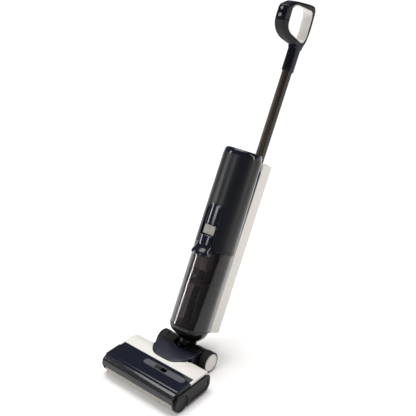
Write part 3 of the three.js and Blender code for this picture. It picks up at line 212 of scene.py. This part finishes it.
def lathe(name, profile, centre, steps=72):
    """Spins a profile of (radius, height) points about Z, then turns the axis to X."""
    clear_bench()
    radius, height = profile[0]
    bpy.ops.mesh.primitive_plane_add(size=0.001, location=(radius, 0, height))
    piece = new_piece(name)
    bpy.ops.object.transform_apply(location=True, rotation=True, scale=True)
    edit(piece)
    bpy.ops.mesh.merge(type="CENTER")
    for (r0, h0), (r1, h1) in zip(profile, profile[1:]):
        bpy.ops.mesh.extrude_vertices_move(TRANSFORM_OT_translate={"value": (r1 - r0, 0, h1 - h0)})
    bpy.ops.mesh.select_all(action="SELECT")
    bpy.ops.mesh.spin(steps=steps, angle=2 * math.pi, center=(0, 0, 0), axis=(0, 0, 1))
    bpy.ops.mesh.select_all(action="SELECT")
    bpy.ops.mesh.remove_doubles(threshold=0.00001)
    bpy.ops.mesh.normals_make_consistent(inside=False)
    done()
    if centre is not None:
        piece.rotation_euler = (0, math.pi / 2, 0)
        piece.location = centre
        take(piece)
        bpy.ops.object.transform_apply(location=True, rotation=True, scale=True)
    take(piece)
    bpy.ops.object.shade_smooth_by_angle(angle=math.radians(40))
    return piece


def on_front(piece, node, across=0.0, up=0.0):
    """Turns a lathed piece to face forwards and sets it on the front of a part of the column."""
    low, high = column_box(node)
    take(piece)
    piece.rotation_euler = (math.pi / 2, 0, 0)
    piece.location = ((low.x + high.x) / 2 + across, low.y, (low.z + high.z) / 2 + up)
    bpy.ops.object.transform_apply(location=True, rotation=True, scale=True)
    return lean_back(piece)


def block(name, low, high, bevel=0.0005):
    clear_bench()
    low, high = Vector(low), Vector(high)
    bpy.ops.mesh.primitive_cube_add(size=1, location=(low + high) / 2, scale=high - low)
    piece = new_piece(name)
    bpy.ops.object.transform_apply(location=True, rotation=True, scale=True)
    return soften(piece, bevel)


def fit(piece, finish, slot, body, *nodes):
    """Gives a piece its finish and its body, and hides the frame parts that it stands for."""
    piece.data.materials.clear()
    piece.data.materials.append(finish)
    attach(piece, body)
    if nodes:
        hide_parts(*nodes)
    print(piece.name, "faces:", len(piece.data.polygons), "on", body)
    return piece


# %% [markdown]
# ## Finishes
# A moulded part is never one flat colour: the tone drifts a little, the gloss is uneven, and the
# surface has a fine grain. One helper builds that for plastics, from three noise textures on the
# part's own coordinates. What is the same all over, such as a coat, is set on the shader itself.

# %% Plastic finishes
def shade(colour, amount):
    return [min(1.0, c * amount) for c in colour[:3]] + [1.0]


def finish_nodes(name):
    finish = bpy.data.materials.new(name)
    finish.use_nodes = True
    nodes = finish.node_tree.nodes
    links = finish.node_tree.links
    coords = nodes.new("ShaderNodeTexCoord")
    return finish, nodes, links, nodes["Principled BSDF"], coords.outputs["Object"]


def noise(nodes, links, coords, scale, detail=3.0, rough=0.55):
    texture = nodes.new("ShaderNodeTexNoise")
    texture.inputs["Scale"].default_value = scale
    texture.inputs["Detail"].default_value = detail
    texture.inputs["Roughness"].default_value = rough
    links.new(coords, texture.inputs["Vector"])
    return texture.outputs["Fac"]


def ramp(nodes, links, value, dark, light, low=0.3, high=0.7):
    tone = nodes.new("ShaderNodeValToRGB")
    tone.color_ramp.elements[0].position = low
    tone.color_ramp.elements[0].color = dark
    tone.color_ramp.elements[1].position = high
    tone.color_ramp.elements[1].color = light
    links.new(value, tone.inputs["Fac"])
    return tone.outputs["Color"]


def spread(nodes, links, value, low, high):
    span = nodes.new("ShaderNodeMapRange")
    span.inputs["From Min"].default_value = 0.3
    span.inputs["From Max"].default_value = 0.7
    span.inputs["To Min"].default_value = low
    span.inputs["To Max"].default_value = high
    links.new(value, span.inputs["Value"])
    return span.outputs["Result"]


def bump(nodes, links, shader, height, distance, strength=0.5):
    relief = nodes.new("ShaderNodeBump")
    relief.inputs["Distance"].default_value = distance
    relief.inputs["Strength"].default_value = strength
    links.new(height, relief.inputs["Height"])
    links.new(relief.outputs["Normal"], shader.inputs["Normal"])


def plastic(name, colour, roughness, uneven=0.05, drift=0.12, grain=1400, depth=0.00003,
            coat=0.0, specular=0.25, coat_roughness=0.06):
    finish, nodes, links, shader, coords = finish_nodes(name)
    tone = noise(nodes, links, coords, 22, 4)
    links.new(ramp(nodes, links, tone, shade(colour, 1 - drift), shade(colour, 1 + drift)),
              shader.inputs["Base Color"])
    gloss = noise(nodes, links, coords, 160, 5, 0.65)
    links.new(spread(nodes, links, gloss, roughness - uneven, roughness + uneven),
              shader.inputs["Roughness"])
    bump(nodes, links, shader, noise(nodes, links, coords, grain, 2), depth)
    shader.inputs["Coat Weight"].default_value = coat
    shader.inputs["Coat Roughness"].default_value = coat_roughness
    shader.inputs["Specular IOR Level"].default_value = specular
    return finish


gloss_navy = plastic("gloss_navy", (0.004, 0.006, 0.014), 0.12, 0.04, depth=0.000006, coat=0.3)
gloss_black = plastic("gloss_black", (0.003, 0.003, 0.004), 0.14, 0.04, depth=0.000006, coat=0.3)
matte_black = plastic("matte_black", (0.006, 0.006, 0.007), 0.46, 0.07, depth=0.00005)
charcoal = plastic("charcoal", (0.006, 0.007, 0.010), 0.36, 0.05, grain=2200, depth=0.00004)
soft_grip = plastic("soft_grip", (0.008, 0.009, 0.011), 0.66, 0.06, grain=2600, depth=0.00008)
gloss_white = plastic("gloss_white", (0.64, 0.625, 0.595), 0.27, 0.006, 0.012, depth=0.000002, coat=0.3,
                      specular=0.5, coat_roughness=0.13)
warm_grey = plastic("warm_grey", (0.33, 0.31, 0.285), 0.46, 0.06, 0.06)
mid_grey = plastic("mid_grey", (0.060, 0.063, 0.074), 0.42, 0.06, 0.06)
handle_navy = plastic("handle_navy", (0.003, 0.004, 0.009), 0.17, 0.04, depth=0.000006, coat=0.10,
                      specular=0.14)
filter_foam = plastic("filter_foam", (0.86, 0.76, 0.68), 0.8, 0.05, 0.10, grain=700, depth=0.0002)
light_mark = plastic("light_mark", (0.62, 0.64, 0.68), 0.40, 0.05, 0.04)
rubber = plastic("black_rubber", (0.010, 0.010, 0.011), 0.72, 0.07, grain=900, depth=0.00010)
board_green = plastic("board_green", (0.02, 0.12, 0.06), 0.45, 0.08, 0.15)
print("plastic finishes made")

# %% [markdown]
# The neck's fairing is satin navy. Its colour is multiplied by a second ramp along the machine's
# length, a painted shade that turns it black on its way back to the wheels.

# %% A finish with painted shade to the rear
def dimmed(nodes, links, coords, tone, axis, start, end, last):
    """Multiplies a colour by a ramp that darkens between two distances from the middle."""
    place = nodes.new("ShaderNodeSeparateXYZ")
    links.new(coords, place.inputs["Vector"])
    distance = nodes.new("ShaderNodeMath")
    distance.operation = "ABSOLUTE"
    links.new(place.outputs[axis], distance.inputs[0])
    share = nodes.new("ShaderNodeMapRange")
    share.inputs["From Min"].default_value = start
    share.inputs["From Max"].default_value = end
    links.new(distance.outputs["Value"], share.inputs["Value"])
    product = nodes.new("ShaderNodeVectorMath")
    product.operation = "MULTIPLY"
    links.new(tone, product.inputs[0])
    dimming = ramp(nodes, links, share.outputs["Result"], (1, 1, 1, 1), last, 0.0, 1.0)
    links.new(dimming, product.inputs[1])
    return product.outputs["Vector"]


def shaded_to_rear(name, colour, front, rear, roughness):
    finish, nodes, links, shader, coords = finish_nodes(name)
    tone = ramp(nodes, links, noise(nodes, links, coords, 22, 4), shade(colour, 0.88), shade(colour, 1.12))
    # The ramp darkens the rear of the fairing as painted shade.
    links.new(dimmed(nodes, links, coords, tone, "Y", front, rear, (0.3, 0.25, 0.18, 1)),
              shader.inputs["Base Color"])
    gloss = noise(nodes, links, coords, 160, 5, 0.65)
    links.new(spread(nodes, links, gloss, roughness - 0.05, roughness + 0.05), shader.inputs["Roughness"])
    bump(nodes, links, shader, noise(nodes, links, coords, 1400, 2), 0.00002)
    shader.inputs["Specular IOR Level"].default_value = 0.25
    return finish


# The fairing's rear is painted shade, down to near black.
fairing_navy = shaded_to_rear("fairing_navy", (0.010, 0.012, 0.022), 0.098, 0.116, 0.34)

# %% [markdown]
# Metal gets its look from drawing or brushing: long, fine streaks along one direction. A Mapping
# node squeezes the noise across that direction, so the grain runs along the part.

# %% Metal finishes
def metal(name, colour, roughness, along_axis, streaks=60, squeeze=0.04, metallic=1.0):
    finish, nodes, links, shader, coords = finish_nodes(name)
    turn = nodes.new("ShaderNodeMapping")
    turn.inputs["Rotation"].default_value = (lean if along_axis == "column" else 0, 0, 0)
    turn.inputs["Scale"].default_value = (squeeze, 1, 1) if along_axis == "x" else (1, 1, squeeze)
    links.new(coords, turn.inputs["Vector"])
    streak = noise(nodes, links, turn.outputs["Vector"], streaks * 20, 4, 0.7)
    links.new(ramp(nodes, links, streak, shade(colour, 0.82), shade(colour, 1.15)),
              shader.inputs["Base Color"])
    links.new(spread(nodes, links, streak, roughness - 0.06, roughness + 0.08), shader.inputs["Roughness"])
    bump(nodes, links, shader, streak, 0.00002)
    shader.inputs["Metallic"].default_value = metallic
    return finish


silver = metal("silver", (0.50, 0.49, 0.48), 0.30, "column")
motor_steel = metal("motor_steel", (0.48, 0.49, 0.51), 0.32, "x")
bronze_tube = metal("bronze_tube", (0.030, 0.024, 0.019), 0.26, "column", 40, 0.02, 0.75)
print("metal finishes made")

# %% [markdown]
# Clear plastic is drawn as a real wall that light passes through. The jar is smoked grey, with
# painted shade that darkens it towards its sides. The window is a darker tint. Both carry faint
# streaks in their gloss, where water has dried.

# %% Clear finishes
def clear(name, colour, roughness, passing, specular=0.5, edge=1.0):
    finish, nodes, links, shader, coords = finish_nodes(name)
    tone = ramp(nodes, links, noise(nodes, links, coords, 14, 3), shade(colour, 0.9), shade(colour, 1.1))
    # Towards the sides the colour is multiplied by the edge factor, which is painted shade where it is
    # below one.
    links.new(dimmed(nodes, links, coords, tone, "X", 0.018, 0.046, (edge, edge, edge, 1)),
              shader.inputs["Base Color"])
    stain = noise(nodes, links, coords, 90, 6, 0.7)
    links.new(spread(nodes, links, stain, roughness, roughness + 0.06), shader.inputs["Roughness"])
    shader.inputs["Transmission Weight"].default_value = passing
    shader.inputs["IOR"].default_value = 1.45
    shader.inputs["Specular IOR Level"].default_value = specular
    return finish


# The edge factor of 0.34 darkens the jar's sides as painted shade.
smoke = clear("smoke_clear", (0.34, 0.31, 0.32), 0.03, 0.98, edge=0.34)
window_tint = clear("clear_window", (0.035, 0.036, 0.045), 0.05, 0.55)
pale_clear = clear("pale_clear", (0.62, 0.64, 0.66), 0.06, 0.7)
print("clear finishes made")

# %% [markdown]
# The roller's pile is a short, dense fleece. Close up it is a field of small tufts, so its colour
# comes from cells about two millimetres wide, darkened at their edges as painted shade in the gaps
# between tufts, with random flecks; its relief comes from the mesh itself, which is displaced further on.

# %% Pile finish
def pile_finish():
    finish, nodes, links, shader, coords = finish_nodes("roller_pile")
    cells = nodes.new("ShaderNodeTexVoronoi")
    cells.inputs["Scale"].default_value = 420
    links.new(coords, cells.inputs["Vector"])
    fleck = noise(nodes, links, coords, 330, 4, 0.7)
    blend = nodes.new("ShaderNodeMath")
    blend.operation = "ADD"
    links.new(cells.outputs["Distance"], blend.inputs[0])
    links.new(fleck, blend.inputs[1])
    # The ramp runs from light tufts to painted shade at the cells' edges, the gaps between tufts.
    links.new(ramp(nodes, links, blend.outputs["Value"], (0.70, 0.66, 0.58, 1), (0.26, 0.24, 0.20, 1),
                   0.55, 1.15), shader.inputs["Base Color"])
    links.new(spread(nodes, links, fleck, 0.85, 1.0), shader.inputs["Roughness"])
    bump(nodes, links, shader, blend.outputs["Value"], 0.0006, 0.7)
    shader.inputs["Sheen Weight"].default_value = 0.4
    return finish


pile = pile_finish()

# %% [markdown]
# ## The floor head
# The roller is a core with a sleeve of pile. The sleeve is turned on a lathe: a profile along its
# length is spun about its axis. Its skin is then displaced inwards by a cell texture, so that
# every tuft is real relief and the sleeve never grows past its true radius.

# %% The roller's pile
def pile_sleeve():
    low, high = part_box("roller_pile")
    outer = (high.z - low.z) / 2
    inner = (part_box("roller_core")[1].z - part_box("roller_core")[0].z) / 2 + 0.0004
    half = (high.x - low.x) / 2
    rings = 200
    profile = [(inner, -half), (outer - 0.0015, -half)]
    profile += [(outer, -half + 0.001 + i * (2 * half - 0.002) / rings) for i in range(rings + 1)]
    profile += [(outer - 0.0015, half), (inner, half), (inner, -half)]
    sleeve = lathe("pile_sleeve", profile, (low + high) / 2, 132)
    centre = (low + high) / 2
    far = outer - 0.001
    select_edges(sleeve, lambda a, b: all(math.hypot(p.y - centre.y, p.z - centre.z) > far for p in (a, b)))
    done()
    tufted = sleeve.vertex_groups.new(name="tufted")
    tufted.add([v.index for v in sleeve.data.vertices if v.select], 1.0, "REPLACE")
    tufts = bpy.data.textures.new("tufts", "VORONOI")
    tufts.noise_scale = 0.0042
    apply_modifier(sleeve, "DISPLACE", texture=tufts, texture_coords="LOCAL", strength=0.0022,
                   mid_level=1.0, vertex_group="tufted")
    take(sleeve)
    bpy.ops.object.shade_smooth()
    return sleeve


fit(pile_sleeve(), pile, "roller_pile", "roller", "roller_pile")

# %% [markdown]
# The cover over the roller is a glossy panel with a tinted window along its front edge. In its
# middle sits a long grey plate with rounded ends, and a ribbed slider that unlatches the cover.
# Their outlines come from the frame, and only need clean bevels: a wide one on the glossy panel,
# where the edge catches the light, and a small one on the crisp plate.

# %% The roller cover
fit(finer_copy("roller_cover_panel", "cover_panel", 0.0007, 3), gloss_navy, "gloss_navy",
    "roller_cover", "roller_cover_panel")
fit(finer_copy("roller_window", "cover_window", 0.0004, 2), window_tint, "clear_window",
    "roller_cover", "roller_window")
fit(finer_copy("latch_plate", "latch_surround", 0.0003, 2), mid_grey, "mid_grey", "roller_cover",
    "latch_plate")
fit(finer_copy("cover_latch", "latch_slider", 0.0003, 2), matte_black, "matte_black", "cover_latch",
    "cover_latch")

# %% [markdown]
# The white shell behind it and the two black side covers are plain mouldings. The side covers
# have a raised rim round a sunken field, and a small round button that frees the roller.

# %% The shell and the side covers
fit(finer_copy("head_shell", "white_shell", 0.0010, 3), gloss_white, "gloss_white", "head", "head_shell")
fit(finer_copy("left_side_cover", "left_cover", 0.0006), matte_black, "matte_black", "head",
    "left_side_cover")
fit(finer_copy("right_side_cover", "right_cover", 0.0006), matte_black, "matte_black", "head",
    "right_side_cover")


def roller_cap():
    """A turned cap: a dished face with a raised rim, a wide plug behind it and a narrow boss."""
    low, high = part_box("roller_end_cap")
    outer = (high.z - low.z) / 2
    boss = high.x - low.x
    profile = [(0, -0.0016), (outer - 0.0064, -0.0016), (outer - 0.0056, -0.0012),
               (outer - 0.0053, -0.0003), (outer - 0.0047, 0), (outer - 0.0023, 0),
               (outer - 0.0017, -0.0004), (outer - 0.0015, -0.0012), (outer - 0.0015, -0.0034),
               (outer - 0.0003, -0.0034), (outer, -0.0038), (outer, -0.0123),
               (0.0117, -0.0123), (0.0117, -boss), (0, -boss)]
    return lathe("end_cap", profile, (high.x, (low.y + high.y) / 2, (low.z + high.z) / 2), 72)


fit(roller_cap(), matte_black, "matte_black", "roller_carrier", "roller_end_cap")


def cover_button(name, side):
    """A shallow domed button, turned on the lathe."""
    face = side * (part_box("right_side_cover")[1].x - 0.0018)
    profile = [(0, 0.0012), (0.0024, 0.0011), (0.0034, 0.0007), (0.0036, 0.0), (0.0036, -0.0006),
               (0, -0.0006), (0, 0.0012)]
    button = lathe(name, [(r, side * h) for r, h in profile], (face, 0.068, 0.030), 32)
    return fit(button, mid_grey, "mid_grey", "head")


cover_button("right_cover_button", 1)
cover_button("left_cover_button", -1)

# %% [markdown]
# The neck's fairing grows out of the white shell as one flowing form. It is sculpted rather than
# built, so a voxel remesh melts its joins together and a smoothing pass relaxes them. Its top is
# then crowned a little by proportional editing.

# %% The neck fairing
island = blended_copy("neck_fairing", "neck_island", 0.0014, 10)
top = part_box("neck_fairing")[1].z
select_faces(island, lambda centre, normal: centre.z > top - 0.004 and abs(centre.x) < 0.03
             and 0.068 < centre.y < 0.088 and normal.z > 0.8)
bpy.ops.transform.translate(value=(0, 0, 0.0014), use_proportional_edit=True,
                            use_proportional_connected=True, proportional_edit_falloff="SMOOTH",
                            proportional_size=0.034)
done()
print("island crowned, top now at", round(max(v.co.z for v in island.data.vertices), 4))
fit(island, fairing_navy, "satin_navy", "head", "neck_fairing")

# %% [markdown]
# A wheel is a rubber tyre on a white disc. Both are turned: the tyre's profile has rounded
# shoulders and three grooves, and the disc has a raised middle and a stepped rim.

# %% The wheels
def tyre(node, name):
    low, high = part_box(node)
    outer = (high.z - low.z) / 2
    inner = outer - 0.0042
    width = high.x - low.x
    profile = [(inner, 0), (outer - 0.0012, 0), (outer - 0.0003, 0.0010), (outer, 0.0026)]
    for share in (0.28, 0.5, 0.72):
        groove = share * width
        profile += [(outer, groove - 0.0009), (outer - 0.0008, groove - 0.0005),
                    (outer - 0.0008, groove + 0.0005), (outer, groove + 0.0009)]
    profile += [(outer, width - 0.0026), (outer - 0.0003, width - 0.0010), (outer - 0.0012, width),
                (inner, width), (inner, 0)]
    return lathe(name, profile, (low.x, (low.y + high.y) / 2, (low.z + high.z) / 2), 96)


def hub(node, name, side):
    low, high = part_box(node)
    outer = (high.z - low.z) / 2
    depth = high.x - low.x
    profile = [(0, 0), (0.0050, 0), (0.0056, -0.0008), (0.0064, -0.0012), (0.0130, -0.0014),
               (0.0134, -0.0018), (0.0142, -0.0018), (0.0146, -0.0014), (0.0215, -0.0010),
               (0.0219, -0.0014), (0.0227, -0.0014), (0.0231, -0.0008), (outer - 0.0008, 0),
               (outer, -0.0010), (outer, -depth), (0.0045, -depth), (0.0045, -depth + 0.012),
               (0, -depth + 0.012)]
    profile = [(r, h * side) for r, h in profile + [profile[0]]]
    face = high.x if side > 0 else low.x
    return lathe(name, profile, (face, (low.y + high.y) / 2, (low.z + high.z) / 2), 72)


for name, side in (("left", -1), ("right", 1)):
    wheel = f"{name}_wheel"
    fit(tyre(f"{name}_tyre", f"{name}_tread"), rubber, "tyre_rubber", wheel, f"{name}_tyre")
    fit(hub(f"{name}_hub", f"{name}_disc", side), gloss_white, "gloss_white", wheel, f"{name}_hub")

# %% [markdown]
# ## The neck and the column
# The neck's yoke carries the column and lets it swivel. Its round top closes the well in the
# fairing: a turned drum about the hinge, cut by two planes square to the column.

# %% The neck
fit(finer_copy("neck_yoke", "yoke_casting", 0.0008, 3), gloss_black, "gloss_black", "yoke", "neck_yoke")


def yoke_shroud():
    """The yoke's round top: a turned drum about the hinge, cut off level with the axle."""
    radius, half, wall = 0.0300, 0.0215, 0.0025
    profile = [(radius - wall, -half), (radius - 0.001, -half), (radius, -half + 0.001),
               (radius, half - 0.001), (radius - 0.001, half), (radius - wall, half),
               (radius - wall, -half)]
    drum = lathe("yoke_shroud", profile, axle, 96)
    edit(drum)
    bpy.ops.mesh.bisect(plane_co=axle + along * 0.003, plane_no=along, use_fill=True, clear_inner=True)
    bpy.ops.mesh.select_all(action="SELECT")
    bpy.ops.mesh.bisect(plane_co=axle + along * 0.0225, plane_no=along, use_fill=True, clear_outer=True)
    done()
    return soften(drum, 0.0004, 2)


fit(yoke_shroud(), gloss_black, "gloss_black", "yoke")

# %% [markdown]
# The short hose in the neck starts on the duct and ends in the bowl, so on the machine it bends when
# the column reclines. This copy keeps the frame's shape and is attached to no body.

# %% The hose
hose = finer_copy("suction_hose", "neck_hose", 0.0)
hose.data.materials.append(rubber)
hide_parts("suction_hose")
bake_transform(hose)
print("hose faces:", len(hose.data.polygons))

# %% [markdown]
# The bowl is a smooth black cup, and the smoked jar for dirty water stands in it. The jar's lid has
# two finishes: its lip is glossy, and the narrow band under the shell is satin like the shell.

# %% The bowl, the jar and its lid
fit(finer_copy("lower_bowl", "bowl", 0.0008, 3, 30), gloss_black, "gloss_black", "column", "lower_bowl")
fit(finer_copy("dirty_tank_jar", "jar", 0.0006, 2), smoke, "smoke_clear", "dirty_tank", "dirty_tank_jar")
lid = fit(finer_copy("dirty_tank_lid", "jar_lid", 0.0009, 3), gloss_navy, "gloss_navy", "dirty_tank",
          "dirty_tank_lid")
lid.data.materials.append(charcoal)
upright = COLUMN.inverted()
for face in lid.data.polygons:
    place = upright @ face.center
    face.material_index = 1 if abs(place.x) > 0.0325 or place.y > -0.068 else 0
print("satin faces on the lid:", sum(face.material_index for face in lid.data.polygons))

# %% [markdown]
# The upper column is a matt shell that ends in a glossy cap. An arched insert in its front holds
# the button that releases the dirty water tank, and a warm grey plate backs the finger recess.

# %% The upper column
fit(finer_copy("body_shell", "column_shell", 0.0006, 2), charcoal, "charcoal", "column", "body_shell")
fit(finer_copy("release_bezel", "arch_frame", 0.0005, 3), gloss_navy, "gloss_navy", "column",
    "release_bezel")
fit(finer_copy("tank_release_button", "arch_button", 0.0012, 4), gloss_navy, "gloss_navy",
    "tank_release_button", "tank_release_button")
fit(finer_copy("grip_plate", "recess_plate", 0.0006), warm_grey, "warm_grey", "column", "grip_plate")
fit(finer_copy("top_cap", "cap", 0.0005, 2), gloss_navy, "gloss_navy", "column", "top_cap")
fit(finer_copy("display_lens", "display", 0.0003, 2), gloss_black, "gloss_black", "column",
    "display_lens")
fit(finer_copy("spine", "back_spine", 0.0006), matte_black, "matte_black", "column", "spine")
for name in ("left", "right"):
    fit(finer_copy(f"{name}_trim_strip", f"{name}_trim", 0.0004), silver, "silver", "column",
        f"{name}_trim_strip")
fit(finer_copy("clean_tank", "white_tank", 0.0012, 3), gloss_white, "gloss_white", "clean_tank",
    "clean_tank")
fit(finer_copy("fill_cap", "filler_plug", 0.0004), gloss_white, "gloss_white", "fill_cap", "fill_cap")
fit(finer_copy("pole_release_button", "pole_catch", 0.0012, 3), warm_grey, "warm_grey",
    "pole_release_button", "pole_release_button")

# %% [markdown]
# ## The pole and the handle
# The pole is a drawn metal tube with a bronze lacquer. The handle is a closed loop: a glossy frame,
# a soft grip where the palm lies, and a white lining round the opening. The frame is remeshed to
# round it, which fills its switch wells a little, so they are cut again with two turned plugs.

# %% The pole and the handle
fit(finer_copy("pole_tube", "pole", 0.0004), bronze_tube, "bronze_tube", "pole", "pole_tube")
handle = blended_copy("handle_shell", "handle_frame", 0.0010, 7)
WELL = [(0, 0.003), (0.0077, 0.003), (0.0077, -0.012), (0, -0.012)]
for name in ("power_button", "mode_button"):
    well = on_front(lathe("well", WELL, None, 40), name)
    apply_modifier(handle, "BOOLEAN", object=well, operation="DIFFERENCE", solver="EXACT")
    bpy.data.objects.remove(well)
fit(handle, handle_navy, "gloss_navy", "pole", "handle_shell")
fit(blended_copy("grip_cover", "grip", 0.0009, 4), soft_grip, "matte_black", "pole", "grip_cover")
fit(finer_copy("handle_liner", "handle_lining", 0.0008, 3), gloss_white, "gloss_white", "pole",
    "handle_liner")


def switch_panel():
    """The panel's upper edge is sunk a little, so that it runs into the frame's rounded shoulder."""
    panel = finer_copy("button_panel", "switch_panel", 0.0)
    low, high = column_box("button_panel")
    upright = COLUMN.inverted()
    select_edges(panel, lambda a, b: all((upright @ p).z > high.z - 0.014 for p in (a, b)))
    bpy.ops.transform.translate(value=COLUMN.to_3x3() @ Vector((0, 0.0010, -0.0016)))
    done()
    return soften(panel, 0.0007, 3)


fit(switch_panel(), handle_navy, "gloss_navy", "pole", "button_panel")


def grip_neck():
    """A rounded ring that closes the joint between the handle's loop and its collar."""
    collar_top = column_box("pole_tube")[1].z
    centre = (column_box("pole_tube")[0].y + column_box("pole_tube")[1].y) / 2
    sleeve = block("grip_neck", (-0.0154, centre - 0.0172, collar_top - 0.009),
                   (0.0154, centre + 0.0170, collar_top + 0.005), 0.0055)
    return lean_back(sleeve)


fit(grip_neck(), handle_navy, "gloss_navy", "pole")
for name in ("power_button", "mode_button"):
    fit(finer_copy(name, f"{name}_cap", 0.0008, 3), gloss_black, "gloss_black", name, name)

# %% [markdown]
# The two switches carry raised marks: a ring on the lower one and a diamond on the upper one.
# Both are turned from the same small section. A lathe with only four steps makes the diamond. A
# small dark disc on the plate in the finger recess is the painted shade of a hole.

# %% Marks on the switches, and painted shade for the plate's hole
MARK = [(0.0029, 0.0), (0.0030, 0.0004), (0.0034, 0.0005), (0.0038, 0.0005), (0.0042, 0.0004),
        (0.0043, 0.0), (0.0029, 0.0)]
HOLE_SHADE = [(0, 0.0002), (0.0013, 0.0002), (0.0016, 0.0), (0.0016, -0.0004), (0, -0.0004), (0, 0.0002)]


fit(on_front(lathe("ring_mark", MARK, None, 40), "power_button"), light_mark, None, "power_button")
fit(on_front(lathe("diamond_mark", MARK, None, 4), "mode_button"), light_mark, None, "mode_button")
# This dark disc is the painted shade of the plate's hole.
fit(on_front(lathe("plate_hole_shade", HOLE_SHADE, None, 24), "grip_plate", 0.0, 0.004), matte_black, "matte_black",
    "column")

# %% [markdown]
# ## Inside the machine
# The parts behind the covers keep the frame's own shape, and only get their finishes. Some show
# through the smoked jar: the filter, the strainer, the intake tube and the float.

# %% Finishes for the inner parts
INNER = {
    "head_chassis": matte_black, "squeegee_blade": rubber, "scraper_strip": rubber,
    "spray_bar": matte_black, "suction_duct": matte_black, "brush_motor": motor_steel,
    "drive_belt": rubber, "left_axle_pin": motor_steel, "right_axle_pin": motor_steel,
    "roller_core": matte_black, "drive_coupler": matte_black,
    "motor_pulley": motor_steel, "battery_pack": matte_black, "control_board": board_green,
    "suction_motor": motor_steel, "water_pump": matte_black, "impeller": silver,
    "filter_cartridge": filter_foam, "intake_tube": pale_clear, "debris_strainer": warm_grey,
    "float": gloss_white,
}
for node, finish in INNER.items():
    slots = frame["nodes"][node].data.materials
    slots.clear()
    slots.append(finish)
print("inner parts finished:", len(INNER))

# %% [markdown]
# ## The studio
# The floor is pale. A tall narrow light stands on the left and another behind on the right, and
# their reflections draw the long highlights on the glossy parts. A box in front fills the shadows,
# and a very soft light from above gives the pale parts their tone.

# %% The floor and the lights
def floor_finish():
    finish, nodes, links, shader, coords = finish_nodes("studio_floor")
    tone = noise(nodes, links, coords, 1.2, 2)
    links.new(ramp(nodes, links, tone, (0.93, 0.93, 0.93, 1), (0.96, 0.96, 0.96, 1)),
              shader.inputs["Base Color"])
    shader.inputs["Roughness"].default_value = 0.9
    return finish


clear_bench()
bpy.ops.mesh.primitive_plane_add(size=14, location=(0, 0, 0))
floor = new_piece("studio_floor")
floor.data.materials.append(floor_finish())


def softbox(name, place, target, width, height, power, tint=(1, 1, 1)):
    clear_bench()
    bpy.ops.object.light_add(type="AREA", location=place)
    lamp = bpy.context.active_object
    lamp.name = name
    lamp.data.shape = "RECTANGLE"
    lamp.data.size = width
    lamp.data.size_y = height
    lamp.data.energy = power
    lamp.data.color = tint
    lamp.rotation_euler = (Vector(target) - Vector(place)).to_track_quat("-Z", "Y").to_euler()
    return lamp


softbox("left_strip", (-1.9, -1.1, 0.9), (0, 0.25, 0.55), 0.28, 2.2, 34, (1, 0.97, 0.94))
softbox("front_box", (-0.3, -2.4, 1.9), (0, 0.1, 0.35), 1.0, 0.7, 16)
softbox("right_strip", (1.7, 0.9, 1.0), (0, 0.3, 0.5), 0.16, 2.0, 12, (1, 0.92, 0.84))

clear_bench()
overhead = (math.radians(-14), math.radians(-10), 0)
bpy.ops.object.light_add(type="SUN", location=(0, 0, 3), rotation=overhead)
ceiling = bpy.context.active_object
ceiling.name = "ceiling_light"
ceiling.data.energy = 3.15
ceiling.data.angle = math.radians(50)

world = bpy.data.worlds.new("studio")
bpy.context.scene.world = world
world.use_nodes = True
world.node_tree.nodes["Background"].inputs["Color"].default_value = (1.0, 1.0, 1.0, 1)
world.node_tree.nodes["Background"].inputs["Strength"].default_value = 0.17
bpy.context.scene.view_settings.view_transform = "Standard"

# %% [markdown]
# The camera stands in front on the right and looks down a little. A long lens keeps the pole
# from leaning outwards too strongly.

# %% The camera
def studio_camera():
    turn = math.radians(39.79)
    tilt = math.radians(26.52)
    backwards = Vector((math.sin(turn) * math.cos(tilt), -math.cos(turn) * math.cos(tilt), math.sin(tilt)))
    clear_bench()
    bpy.ops.object.camera_add(location=(1.160, -1.1446, 1.367))
    camera = bpy.context.active_object
    camera.rotation_euler = (-backwards).to_track_quat("-Z", "Y").to_euler()
    camera.data.lens = 62.73
    camera.data.sensor_width = 36
    camera.data.clip_start = 0.01
    return camera


bpy.context.scene.camera = studio_camera()
